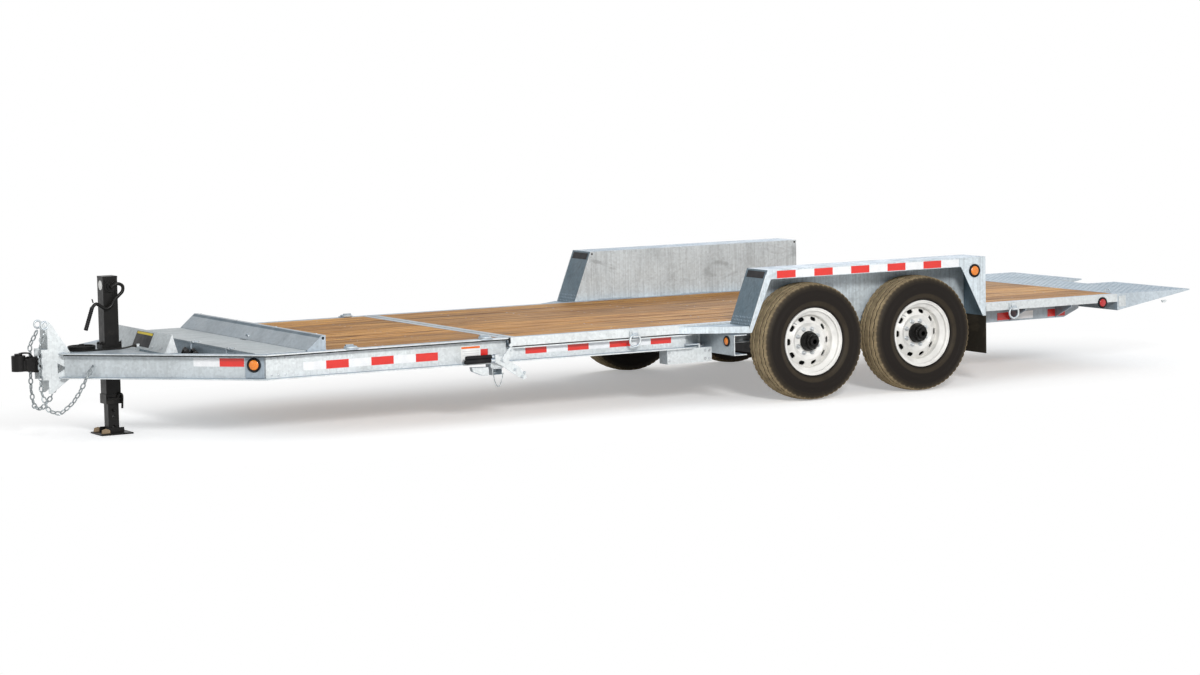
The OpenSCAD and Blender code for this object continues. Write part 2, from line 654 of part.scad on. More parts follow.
// Joists under the bed: thin over the rails and beams, deep between the beams
joist_pitch = 405;
joist_xs = [for (x = [bed_front_x - joist_w : -joist_pitch : bed_end_x]) x];
module bed_joists() color(galvanised) place() {
    thin_y = half_w - bed_rail_t - fit;
    deep_y = beam_y - bed_flange - fit;
    for (x = joist_xs) {
        block([x, -thin_y, bed_bot + eps], [x + joist_w, thin_y, plank_bot]);
        block([x, -deep_y, plank_bot - joist_h], [x + joist_w, deep_y, plank_bot]);
    }
    // edge strip at the split
    block([bed_front_x - edge_w, -web_y + fit, plank_bot - eps], [bed_front_x, web_y - fit, deck_top]);
    // lugs for the cushion cylinder's rod eye
    for (s = [-1, 1]) slab_y(s * lug_y - plate_t / 2, s * lug_y + plate_t / 2,
        [[rod_joist_x, plank_bot - joist_h + eps],
        [eye_high_x - 20, eye_high_z - 16], [eye_high_x + 20, eye_high_z - 16],
            [rod_joist_x + joist_w, plank_bot - joist_h + eps]]);
}
rod_joist_x = joist_xs[2];

// Deep beam of the bed, shallow ahead of the wheels, with the pivot bore
beam_deep_x = kink_rear_x - 260;
beam_rear_x = wood_end_x + 190;
module bed_beam() color(galvanised) place() {
    shallow = bed_bot - 45;
    difference() {
        union() {
            slab_y(beam_y - web_t, beam_y, [[bed_front_x - 12, bed_bot], [bed_front_x - 12, shallow],
                [beam_deep_x, shallow],
                [beam_deep_x - 55, beam_bot], [beam_rear_x + beam_slant, beam_bot],
                    [beam_rear_x, shallow], [beam_rear_x, bed_bot]]);
            bar_y(pivot_r * 1.8, pivot_x, pivot_z, beam_y - 24, beam_y - eps);
        }
        bar_y(pivot_r + run_gap, pivot_x, pivot_z, 0, half_w);
    }
    block([beam_rear_x, beam_y - bed_flange, bed_bot - web_t], [bed_front_x - 12, beam_y, bed_bot]);
    block([beam_deep_x, beam_y - bed_flange, shallow], [bed_front_x - 12, beam_y - eps, shallow + web_t]);
    block([beam_rear_x + beam_slant, beam_y - bed_flange, beam_bot],
        [beam_deep_x - 55, beam_y - eps, beam_bot + web_t]);
    // outriggers to the side rail behind the wheels
    for (x = gusset_xs) rail_gusset(x);
}
gusset_first_x = fender_rear_x - 138;
gusset_last_x = beam_rear_x + 200;
gusset_xs = [gusset_first_x, (gusset_first_x + gusset_last_x) / 2, gusset_last_x];
module rail_gusset(x) translate([x, 0, 0]) rotate([90, 0, 90]) linear_extrude(web_t)
    polygon([[beam_y, beam_bot + 4], [beam_y, bed_bot], [half_w - bed_rail_t - fit, bed_bot],
        [half_w - bed_rail_t - fit, bed_bot - 12]]);

module bed_planks() color(wood) place()
    boards(wood_end_x + 2, bed_front_x - edge_w - 1, 2 * web_y - 2);

// Steel tail in two ramps with a slot between them, flush with the deck and sharp at the rear
module tail_deck() color(galvanised) place() {
    tip = 8;
    top_t = 8;
    side = [[wood_end_x, deck_top], [tail_x, deck_top], [tail_x, deck_top - tip],
        [wood_end_x, deck_top - tail_h]];
    difference() {
        block([tail_x, -half_w, deck_top - top_t], [wood_end_x, half_w, deck_top]);
        block([tail_x - 1, -slot_w / 2, 0], [tail_x + slot_len, slot_w / 2, deck_top + 1]);
    }
    both_sides() for (y = tail_ribs) slab_y(y, y + web_t, side);
    // front cross wall and sloping bottom strip
    block([wood_end_x - web_t, -half_w, deck_top - tail_h], [wood_end_x, half_w, deck_top]);
    block([tail_x + slot_len, -slot_w / 2, slot_bot], [tail_x + slot_len + web_t, slot_w / 2, deck_top]);
}
tail_ribs = [slot_w / 2, slot_w / 2 + (half_w - slot_w / 2) / 2, half_w - web_t];
slot_bot = deck_top - 8 - (tail_h - 8) * slot_len / tail_len;

// Fender: inner wall, flat top, sloped front, outer skirt and the tread step ahead of it
module fender() color(galvanised) place() {
    front = [fender_front_x, fender_top];
    foot = [fender_front_x + slope_run, slope_bot];
    // inner wall
    slab_y(fender_in, fender_in + sheet_t, [front, foot, [fender_rear_x, slope_bot],
        [fender_rear_x, fender_top]]);
    // top, sloped front and rear end
    block([fender_rear_x, fender_in, fender_top - sheet_t], [fender_front_x, fender_half, fender_top]);
    slab_y(fender_in, fender_half, [front, foot, foot - [sheet_t, 0], front - [sheet_t * 1.2, sheet_t]]);
    block([fender_rear_x, fender_in, slope_bot], [fender_rear_x + sheet_t, fender_half, fender_top]);
    // outer skirt, narrow in front and widening to the top at the rear
    slab_y(fender_half - sheet_t, fender_half, [front, foot, foot - [26, 0], front - [-16, skirt_h] - [40, 0],
        [fender_rear_x + 200, fender_top - skirt_h], [fender_rear_x + 24, slope_bot],
            [fender_rear_x, slope_bot], [fender_rear_x, fender_top]]);
    // step plate from the side rail out to the fender
    translate([0, 0, deck_top - step_drop - 8]) linear_extrude(8)
        polygon([[step_front_x, half_w + fit], [foot[0], fender_half], [foot[0] - 6, fender_half],
            [foot[0] - 6, half_w + fit]]);
    translate([0, 0, slope_bot]) linear_extrude(deck_top - step_drop - slope_bot)
        polygon([[step_front_x, half_w + fit], [foot[0], fender_half], [foot[0] - 6, fender_half],
            [step_front_x - 8, half_w + fit]]);
    // weld tabs that carry the inner wall on the side rail
    for (x = [fender_front_x - 100, (fender_front_x + fender_rear_x) / 2, fender_rear_x + 150])
        block([x - 40, half_w, bed_bot + 6], [x + 40, fender_in + eps, deck_top - 6]);
}
step_drop = 12;
step_front_x = fender_front_x + slope_run + step_len;

module mud_flap() color(rubber) place()
    block([fender_rear_x - 8, fender_in + 10, slope_bot - flap_h],
        [fender_rear_x - fit, fender_half - 8, slope_bot + 60]);

// Rings that hang from the bed's side rails
bed_ring_xs = [bed_front_x - 890, wood_end_x + 900];
module bed_tie_rings() color(galvanised) place() both_sides() for (x = bed_ring_xs) {
    block([x - 32, half_w + fit, bed_bot + 4], [x + 32, half_w + 8, bed_bot + 44]);
    translate([x, half_w + 15, bed_bot - 20]) rotate([90, 0, 0]) rotate_extrude() translate([38, 0])
        circle(r = 7, $fn = 16);
}

// Lamps on the fenders and the tail
module bed_lamps() color(red_lens) place() both_sides() {
    translate([fender_rear_x + 92, fender_half + fit, fender_top - 90]) lamp_disc(lamp_r, 12);
    translate([wood_end_x + 132, half_w + fit, deck_top - 54]) lamp_disc(lamp_r - 6, 12);
}

// Cushion cylinder, drawn along +X from its lower eye and then turned up
cyl_vec = [eye_high_x - eye_low_x, eye_high_z - eye_low_z];
cyl_len = norm(cyl_vec);
cyl_angle = atan2(cyl_vec[1], cyl_vec[0]);
barrel_len = cyl_len - 62;
eye_half = lug_y - plate_t / 2 - 2;
module along_cylinder() translate([eye_low_x, 0, eye_low_z]) rotate([0, -cyl_angle, 0]) children();
module cushion_barrel() color(black_paint) place() along_cylinder() {
    bar_y(eye_r, 0, 0, -lug_y - plate_t, lug_y + plate_t);
    bar_y(eye_r + 12, 0, 0, -eye_half, eye_half);
    difference() {
        bar_x(barrel_r, 0, 0, 18, barrel_len);
        bar_x(rod_r + run_gap, 0, 0, 40, barrel_len + 1);
    }
}
module cushion_rod() color("#d8dadd") place() along_cylinder() {
    bar_x(rod_r, 0, 0, 46, cyl_len - 14);
    difference() {
        bar_y(eye_r + 10, cyl_len, 0, -eye_half + 4, eye_half - 4);
        bar_y(eye_r + 1, cyl_len, 0, -lug_y, lug_y);
    }
}

// Wheels
// Half section of a tyre: radius below the tread face, distance from the middle plane
tyre_section = [[rim_d / 2 - 12, 0.345], [rim_d / 2 + 1, 0.345], [rim_d / 2 + 7, 0.44],
    [tyre_od / 2 - 95, 0.5], [tyre_od / 2 - 45, 0.495],
    [tyre_od / 2 - 12, 0.44], [tyre_od / 2, 0.36]];
module tyre() rotate([90, 0, 0]) rotate_extrude($fn = 64) polygon(concat(
    [for (p = tyre_section) [p[0], p[1] * tyre_w]],
    [for (i = [len(tyre_section) - 1:-1:0]) [tyre_section[i][0], -tyre_section[i][1] * tyre_w]]));
module hand_hole() linear_extrude(60, center = true) {
    for (s = [-1, 1]) translate([s * 9, 0]) circle(r = 13, $fn = 24);
    square([18, 26], center = true);
}
hole_n = 10;
// Rim, disc and hub of a wheel on the left side, its face at +Y
module rim() {
    r = rim_d / 2;
    disc_y = 18;
    bead = 0.40 * tyre_w - 2;
    difference() {
        union() {
            rotate([-90, 0, 0]) rotate_extrude($fn = 96) polygon([[r - 16, -bead - 4], [r, -bead - 4],
                [r, -bead + 6], [r - 13, -bead + 10],
                [r - 13, -40], [r - 40, -20], [r - 40, 40], [r - 13, 62], [r - 13, bead - 10],
                    [r, bead - 6], [r, bead + 6], [r - 6, bead + 6],
                [r - 6, bead], [r - 19, bead - 4], [r - 19, 66], [r - 46, 44], [r - 46, -22], [r - 19, -44]]);
            rotate([-90, 0, 0]) rotate_extrude($fn = 96) polygon([[40, disc_y], [96, disc_y],
                [120, disc_y + 16], [r - 45, disc_y - 18], [r - 45, disc_y - 26],
                [118, disc_y + 8], [94, disc_y - 8], [40, disc_y - 8]]);
            bar_y(62, 0, 0, -46, disc_y + 14);
            bar_y(44, 0, 0, disc_y, disc_y + 70);
            bar_y(28, 0, 0, disc_y + 70, disc_y + 88);
        }
        bar_y(spindle_r + run_gap, 0, 0, -60, disc_y + 50);
        for (i = [0:hole_n - 1]) rotate([0, i * 360 / hole_n, 0]) translate([148, disc_y, 0])
            rotate([90, 90, 0]) hand_hole();
    }
}
module wheel_at(x) place() translate([x, wheel_y, wheel_z]) children();

main_rail();  // main_rail_left
right() main_rail();  // main_rail_right
tongue_rail();  // tongue_rail_left
right() tongue_rail();  // tongue_rail_right
main_crossmembers();
tongue_nose();
coupler();
safety_chains();
jack_tube();
jack_leg();
jack_crank();
stop_rail();
toolbox();
toolbox_lid();
front_planks();
hose_guard();
harness_lead();
harness_coil();
harness_plug();
bed_latch();
front_tie_rings();
front_lamps();
axle(axle_x);  // axle_front
axle(rear_axle_x);  // axle_rear
side_box();
bed_rail();  // bed_rail_left
right() bed_rail();  // bed_rail_right
bed_joists();
bed_beam();  // bed_beam_left
right() bed_beam();  // bed_beam_right
bed_planks();
tail_deck();
fender();  // fender_left
right() fender();  // fender_right
mud_flap();  // mud_flap_left
right() mud_flap();  // mud_flap_right
bed_tie_rings();
bed_lamps();
cushion_barrel();
cushion_rod();
color(rubber) wheel_at(axle_x) tyre();  // tyre_front_left
color(white_paint) wheel_at(axle_x) rim();  // rim_front_left
right() color(rubber) wheel_at(axle_x) tyre();  // tyre_front_right
right() color(white_paint) wheel_at(axle_x) rim();  // rim_front_right
color(rubber) wheel_at(rear_axle_x) tyre();  // tyre_rear_left
color(white_paint) wheel_at(rear_axle_x) rim();  // rim_rear_left
right() color(rubber) wheel_at(rear_axle_x) tyre();  // tyre_rear_right
right() color(white_paint) wheel_at(rear_axle_x) rim();  // rim_rear_right
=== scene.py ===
"""Looks of the drop-deck tilt trailer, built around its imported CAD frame.

Places are written in millimetres with x = 0 at the split of the two decks, as in the part's source.
"""
import random
from math import asin, cos, degrees, pi, radians, sin, sqrt, tau

import bmesh
import bpy
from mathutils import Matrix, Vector


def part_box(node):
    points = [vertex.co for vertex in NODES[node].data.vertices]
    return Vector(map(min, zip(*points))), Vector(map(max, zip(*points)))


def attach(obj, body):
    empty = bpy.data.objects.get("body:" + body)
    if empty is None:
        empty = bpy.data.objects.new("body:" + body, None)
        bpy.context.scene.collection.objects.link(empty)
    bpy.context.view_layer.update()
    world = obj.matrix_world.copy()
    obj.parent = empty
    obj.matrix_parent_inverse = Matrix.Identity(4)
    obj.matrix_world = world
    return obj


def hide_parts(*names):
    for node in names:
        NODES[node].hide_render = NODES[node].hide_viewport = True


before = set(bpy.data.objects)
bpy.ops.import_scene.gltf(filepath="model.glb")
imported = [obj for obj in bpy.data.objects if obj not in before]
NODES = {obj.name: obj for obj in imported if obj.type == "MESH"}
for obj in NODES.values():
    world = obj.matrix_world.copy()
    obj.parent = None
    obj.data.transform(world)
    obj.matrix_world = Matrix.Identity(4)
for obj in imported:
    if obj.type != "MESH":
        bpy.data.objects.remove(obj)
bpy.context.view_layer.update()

BOARD_START = 51
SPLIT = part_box("front_planks")[0].x * 1000 - BOARD_START

# Sizes of the frame that the pieces here sit on
DECK_TOP = 530
HALF_W = 1038
WEB_Y = 988
RAIL_BOT = 374
BED_BOT = 475
PLANK_BOT = 492
WOOD_END_X = -4790
TAIL_X = -5430
FENDER_IN = 1040
FENDER_HALF = 1290
FENDER_TOP = 872
FENDER_FRONT_X = -1758
FENDER_REAR_X = -3482
FENDER_FOOT_X = -1605
STEP_FRONT_X = -1235
STEP_TOP = 518
WHEEL_Y = 1176
WHEEL_Z = 385
AXLE_X = {"front": -2119, "rear": -2977}
TONGUE_A = Vector((1629.7, 988, 0))
TONGUE_B = Vector((2575.2, 69.1, 0))
JACK_X = 2255
JACK_HALF = 47.5
LID_TOP = 535
# Each wheel's name, its axle's x and its side
WHEELS = [(f"{end}_{side}", x, sign) for end, x in AXLE_X.items()
          for side, sign in (("left", 1), ("right", -1))]
# Directions up along the fenders' front slopes and square out of them
SLOPE_UP = Vector((FENDER_FRONT_X - FENDER_FOOT_X, 0, FENDER_TOP - BED_BOT))
SLOPE_LEN = SLOPE_UP.length
SLOPE_UP.normalize()
SLOPE_OUT = Vector((SLOPE_UP.z, 0, -SLOPE_UP.x))
UP, LEFT, AHEAD = (0, 0, 1), (0, 1, 0), (1, 0, 0)
CORNERS = ((-1, -1), (1, -1), (1, 1), (-1, 1))


def at(x, y, z):
    """A place in millimetres from the deck's split, in the part's frame in metres."""
    return Vector(((x + SPLIT) / 1000, y / 1000, z / 1000))


def tongue(s, out, z):
    """A place on the left tongue rail's web: s along it from the bend, out from its outer face."""
    along = (TONGUE_B - TONGUE_A).normalized()
    normal = Vector((-along.y, along.x, 0))
    p = TONGUE_A + along * s + normal * out
    return Vector((p.x, p.y, z))


def around(count, start=0.0):
    """Evenly spaced angles of a full turn."""
    return [tau * (i + start) / count for i in range(count)]


# Materials


class Tree:
    """A node tree with short calls to add and join nodes."""

    def __init__(self, tree):
        self.tree = tree

    def join(self, socket, value):
        """Links another node's output to the socket, or sets its value."""
        if isinstance(value, bpy.types.NodeSocket):
            self.tree.links.new(value, socket)
        else:
            socket.default_value = value

    def add(self, kind, props=None, **inputs):
        node = self.tree.nodes.new("ShaderNode" + kind)
        for key, value in (props or {}).items():
            setattr(node, key, value)
        for key, value in inputs.items():
            self.join(node.inputs[int(key[1:]) if key in ("i0", "i1", "i2") else key], value)
        return node

    def place(self, scale=(1, 1, 1)):
        coords = self.add("TexCoord").outputs["Object"]
        return self.add("Mapping", Vector=coords, Scale=scale).outputs[0]

    def noise(self, scale, detail=4.0, stretch=(1, 1, 1), vector=None, roughness=0.55, distortion=0.0):
        vector = vector or self.place(stretch)
        return self.add("TexNoise", Vector=vector, Scale=scale, Detail=detail, Roughness=roughness,
                        Distortion=distortion).outputs["Fac"]

    def ramp(self, fac, *stops):
        node = self.add("ValToRGB", i0=fac)
        ramp = node.color_ramp
        while len(ramp.elements) < len(stops):
            ramp.elements.new(0.5)
        for element, (pos, color) in zip(ramp.elements, stops):
            element.position = pos
            element.color = (*color, 1) if isinstance(color, tuple) else (color, color, color, 1)
        return node.outputs["Color"]

    def mix(self, fac, a, b, blend="MIX"):
        node = self.add("Mix", {"data_type": "RGBA", "blend_type": blend})
        for i, value in ((0, fac), (6, a), (7, b)):
            self.join(node.inputs[i], (*value, 1) if isinstance(value, tuple) else value)
        return node.outputs[2]

    def shade(self, fac, a, b):
        return self.mix(fac, a, b, "MULTIPLY")

    def math(self, operation, a, b=0.0):
        return self.add("Math", {"operation": operation}, i0=a, i1=b).outputs[0]


class Nodes(Tree):
    """A material and its shader."""

    def __init__(self, name, **sockets):
        self.mat = bpy.data.materials.new(name)
        self.mat.use_nodes = True
        super().__init__(self.mat.node_tree)
        self.shader = self.tree.nodes["Principled BSDF"]
        for key, value in sockets.items():
            self.shader.inputs[key.replace("_", " ")].default_value = value

    def use(self, socket, value):
        self.join(self.shader.inputs[socket], value)

    def bump(self, height, strength, distance):
        node = self.add("Bump", Height=height, Strength=strength, Distance=distance)
        self.use("Normal", node.outputs[0])


def galvanised(name, side, top, front=None, streaks=0.25, metallic=0.2):
    """Hot-dip zinc: spangle, clouded patches, runs down upright faces, and painted sky reflection and shade as
    darker, bluer tones on faces that look up and forward.
    """
    m = Nodes(name, Metallic=metallic)
    # Painted sky reflection and painted shade: faces looking up get the top tone, faces looking forward the
    # front tone.
    normal = m.add("SeparateXYZ", i0=m.add("TexCoord").outputs["Normal"])
    up = m.math("ABSOLUTE", normal.outputs["Z"])
    tone = m.mix(m.ramp(up, (0.15, 0.0), (0.75, 1.0)), side, top)
    if front:
        tone = m.mix(m.ramp(normal.outputs["X"], (0.55, 0.0), (0.85, 1.0)), tone, front)
    crystal = m.add("TexVoronoi", Vector=m.place(), Scale=70.0).outputs["Color"]
    spangle = m.ramp(m.add("SeparateColor", i0=crystal).outputs[0], (0.0, 0.86), (1.0, 1.07))
    tone = m.shade(0.8, tone, spangle)
    cloud = m.ramp(m.noise(3.2, 6.0, distortion=0.6), (0.34, 0.82), (0.5, 0.98), (0.68, 1.05))
    tone = m.shade(0.75, tone, cloud)
    run = m.ramp(m.noise(1.0, 6.0, (95, 95, 3.0)), (0.36, 0.80), (0.56, 1.03))
    tone = m.shade(streaks, tone, run)
    smudge = m.ramp(m.noise(1.0, 7.0, (2.2, 5.0, 5.5), distortion=2.2), (0.28, 0.66), (0.42, 1.0))
    tone = m.shade(streaks, tone, smudge)
    m.use("Base Color", tone)
    m.use("Roughness", m.ramp(m.noise(9.0, 5.0), (0.3, 0.34), (0.7, 0.56)))
    m.bump(m.noise(160.0, 3.0), 0.25, 0.0008)
    return m.mat


def boards_material():
    """Oiled softwood boards: long grain, a tone of its own for each board, dark traffic stains."""
    m = Nodes("deck_boards", Roughness=0.6, Specular_IOR_Level=0.12)
    board = m.add("Attribute", {"attribute_name": "board"}).outputs["Fac"]
    shift = m.add("CombineXYZ", X=m.math("MULTIPLY", board, 37.0), Y=m.math("MULTIPLY", board, 11.0)).outputs[0]
    spot = m.add("VectorMath", {"operation": "ADD"}, i0=m.place((0.5, 20, 20)), i1=shift).outputs[0]
    grain = m.noise(2.6, 9.0, vector=spot, roughness=0.62, distortion=1.1)
    tone = m.ramp(grain, (0.32, (0.085, 0.034, 0.008)), (0.42, (0.26, 0.115, 0.026)),
                  (0.50, (0.50, 0.25, 0.060)), (0.66, (0.74, 0.43, 0.125)))
    fine = m.ramp(m.noise(7.0, 6.0, vector=spot), (0.3, 0.72), (0.6, 1.05))
    tone = m.shade(0.8, tone, fine)
    warm = m.ramp(board, (0.0, (0.74, 0.69, 0.66)), (0.5, (1.0, 0.95, 0.90)), (1.0, (1.16, 1.08, 0.98)))
    tone = m.shade(1.0, tone, warm)
    stain = m.ramp(m.noise(1.4, 7.0, (0.8, 5.0, 1), distortion=1.2), (0.34, 0.40), (0.47, 1.0))
    tone = m.shade(0.75, tone, stain)
    knots = m.add("TexVoronoi", Vector=m.place((2.2, 6.5, 1)), Scale=1.0).outputs["Distance"]
    tone = m.shade(0.85, tone, m.ramp(knots, (0.045, 0.30), (0.085, 1.0)))
    m.use("Base Color", tone)
    m.use("Roughness", m.ramp(grain, (0.3, 0.70), (0.7, 0.48)))
    m.bump(grain, 0.35, 0.0015)
    return m.mat


def tyre_material():
    """Black rubber, brown with dust on the tread's ribs and in a band of the side wall; the grooves stay black,
    partly bare rubber and partly painted shade.
    """
    m = Nodes("tyre_rubber", Roughness=0.72, Specular_IOR_Level=0.12)
    dust = m.ramp(m.add("Attribute", {"attribute_name": "dust"}).outputs["Fac"], (0.10, 0.0), (0.40, 0.14),
                  (0.72, 1.0))
    patch = m.noise(16.0, 5.0)
    amount = m.math("MULTIPLY", dust, m.ramp(patch, (0.3, 0.55), (0.62, 1.0)))
    tone = m.mix(amount, (0.014, 0.011, 0.009), (0.40, 0.31, 0.185))
    m.use("Base Color", tone)
    m.use("Roughness", m.ramp(amount, (0.0, 0.5), (0.6, 0.9)))
    m.bump(m.noise(220.0, 3.0), 0.2, 0.0006)
    return m.mat


def painted(name, color, roughness, chips=0.12, chip_color=(0.30, 0.26, 0.22), grit=120.0, gloss=0.22):
    """Coated metal with slight tone changes and a little dust."""
    m = Nodes(name, Specular_IOR_Level=gloss)
    cloud = m.ramp(m.noise(7.0, 5.0), (0.35, 0.85), (0.65, 1.1))
    tone = m.shade(1.0, color, cloud)
    dust = m.ramp(m.noise(2.6, 8.0, distortion=0.8), (0.56, 0.0), (0.74, 1.0))
    tone = m.mix(m.math("MULTIPLY", dust, chips), tone, chip_color)
    m.use("Base Color", tone)
    m.use("Roughness", m.ramp(m.noise(30.0, 4.0), (0.3, roughness - 0.06), (0.7, roughness + 0.10)))
    m.bump(m.noise(grit, 3.0), 0.15, 0.0006)
    return m.mat


def tape_material(name, color):
    """Reflective sheeting with a fine honeycomb of cells under its clear face."""
    m = Nodes(name, Roughness=0.28, Coat_Weight=0.5, Coat_Roughness=0.12)
    cells = m.add("TexVoronoi", {"feature": "DISTANCE_TO_EDGE"}, Vector=m.place(), Scale=220.0).outputs[0]
    tone = m.shade(0.6, color, m.ramp(cells, (0.02, 0.84), (0.14, 1.04)))
    m.use("Base Color", m.shade(0.5, tone, m.ramp(m.noise(20.0, 4.0), (0.3, 0.86), (0.6, 1.03))))
    return m.mat


def lens_material(name, color, deep):
    """Moulded lamp lens with fine prisms behind its face."""
    m = Nodes(name, Roughness=0.16, Coat_Weight=0.6, Coat_Roughness=0.08)
    prisms = m.add("TexVoronoi", Vector=m.place(), Scale=230.0).outputs["Distance"]
    m.use("Base Color", m.mix(m.ramp(prisms, (0.1, 0.0), (0.6, 1.0)), color, deep))
    m.bump(prisms, 0.3, 0.0012)
    return m.mat


MAT = {
    # In each zinc the second tone, for faces looking up, is painted sky reflection and shade; the third, for
    # faces looking forward, is painted shade.
    "zinc": galvanised("galvanised_rail", (0.71, 0.745, 0.75), (0.34, 0.42, 0.50), (0.40, 0.45, 0.48)),
    "zinc_sheet": galvanised("galvanised_sheet", (0.66, 0.73, 0.77), (0.24, 0.33, 0.42), (0.11, 0.165, 0.205),
        streaks=0.75),
    "zinc_lid": galvanised("galvanised_lid", (0.60, 0.64, 0.66), (0.44, 0.49, 0.51), (0.42, 0.48, 0.51),
        streaks=0.3),
    "zinc_guard": galvanised("galvanised_guard", (0.72, 0.75, 0.76), (0.52, 0.57, 0.59), (0.62, 0.67, 0.69),
        streaks=0.3),
    # Painted shade: the dark sheet laid on the stop rail's fold.
    "zinc_painted_fold_shade": galvanised("galvanised_painted_fold_shade", (0.10, 0.15, 0.19), (0.10, 0.15, 0.19), streaks=0.6),
    # Painted shade: a darker, bluer copy of the rail zinc for parts that stand in shade.
    "zinc_painted_shade": galvanised("galvanised_shaded", (0.42, 0.48, 0.53), (0.40, 0.45, 0.49), (0.24, 0.30, 0.35),
        streaks=0.5),
    "zinc_tread": galvanised("galvanised_tread_plate", (0.58, 0.65, 0.70), (0.31, 0.40, 0.48),
        (0.24, 0.31, 0.37), streaks=0.3),
    "bolt": galvanised("galvanised_bolts", (0.62, 0.64, 0.65), (0.55, 0.58, 0.60), streaks=0.0, metallic=0.6),
    "chain": galvanised("zinc_chain", (0.34, 0.37, 0.38), (0.34, 0.37, 0.38), streaks=0.0, metallic=0.7),
    "boards": boards_material(),
    "tyre": tyre_material(),
    "black": painted("black_paint", (0.005, 0.0045, 0.004), 0.36),
    "cast": painted("black_cast_iron", (0.005, 0.0045, 0.004), 0.46, chips=0.3, grit=60.0),
    "white": painted("white_wheel_paint", (0.80, 0.79, 0.76), 0.30, chips=0.05),
    "rubber": painted("black_rubber", (0.005, 0.005, 0.005), 0.55, chips=0.25, chip_color=(0.17, 0.14, 0.10)),
    "flap": painted("mud_flap_rubber", (0.022, 0.018, 0.012), 0.75, chips=0.5, chip_color=(0.16, 0.13, 0.09)),
    "grip": painted("handle_grip", (0.004, 0.004, 0.005), 0.42),
    # Painted shade: near-black for the lid's slot, the drain holes and, in part, the brake drums.
    "dark": painted("shaded_iron", (0.003, 0.003, 0.003), 0.7),
    "sand": painted("sandy_steel", (0.30, 0.22, 0.14), 0.75, chips=0.4),
    "ruling": painted("label_ruling", (0.55, 0.55, 0.56), 0.5, chips=0.0),
    "label": painted("blank_label", (0.86, 0.86, 0.84), 0.35, chips=0.0),
    "label_dark": painted("blank_dark_plate", (0.010, 0.010, 0.013), 0.40, chips=0.1),
    "orange": painted("label_orange_band", (0.86, 0.16, 0.02), 0.40, chips=0.0),
    "yellow": painted("label_yellow_band", (0.80, 0.62, 0.04), 0.40, chips=0.0),
    "chrome": painted("rod_steel", (0.62, 0.63, 0.64), 0.16, chips=0.0, gloss=0.9),
    "red_tape": tape_material("red_tape", (0.72, 0.018, 0.010)),
    "white_tape": tape_material("white_tape", (0.84, 0.85, 0.86)),
    "amber": lens_material("amber_lens", (0.93, 0.34, 0.015), (0.72, 0.17, 0.004)),
    "red": lens_material("red_lens", (0.80, 0.012, 0.012), (0.42, 0.003, 0.006)),
}

# Shapes


def in_scene(name, data):
    obj = bpy.data.objects.new(name, data)
    bpy.context.scene.collection.objects.link(obj)
    return obj


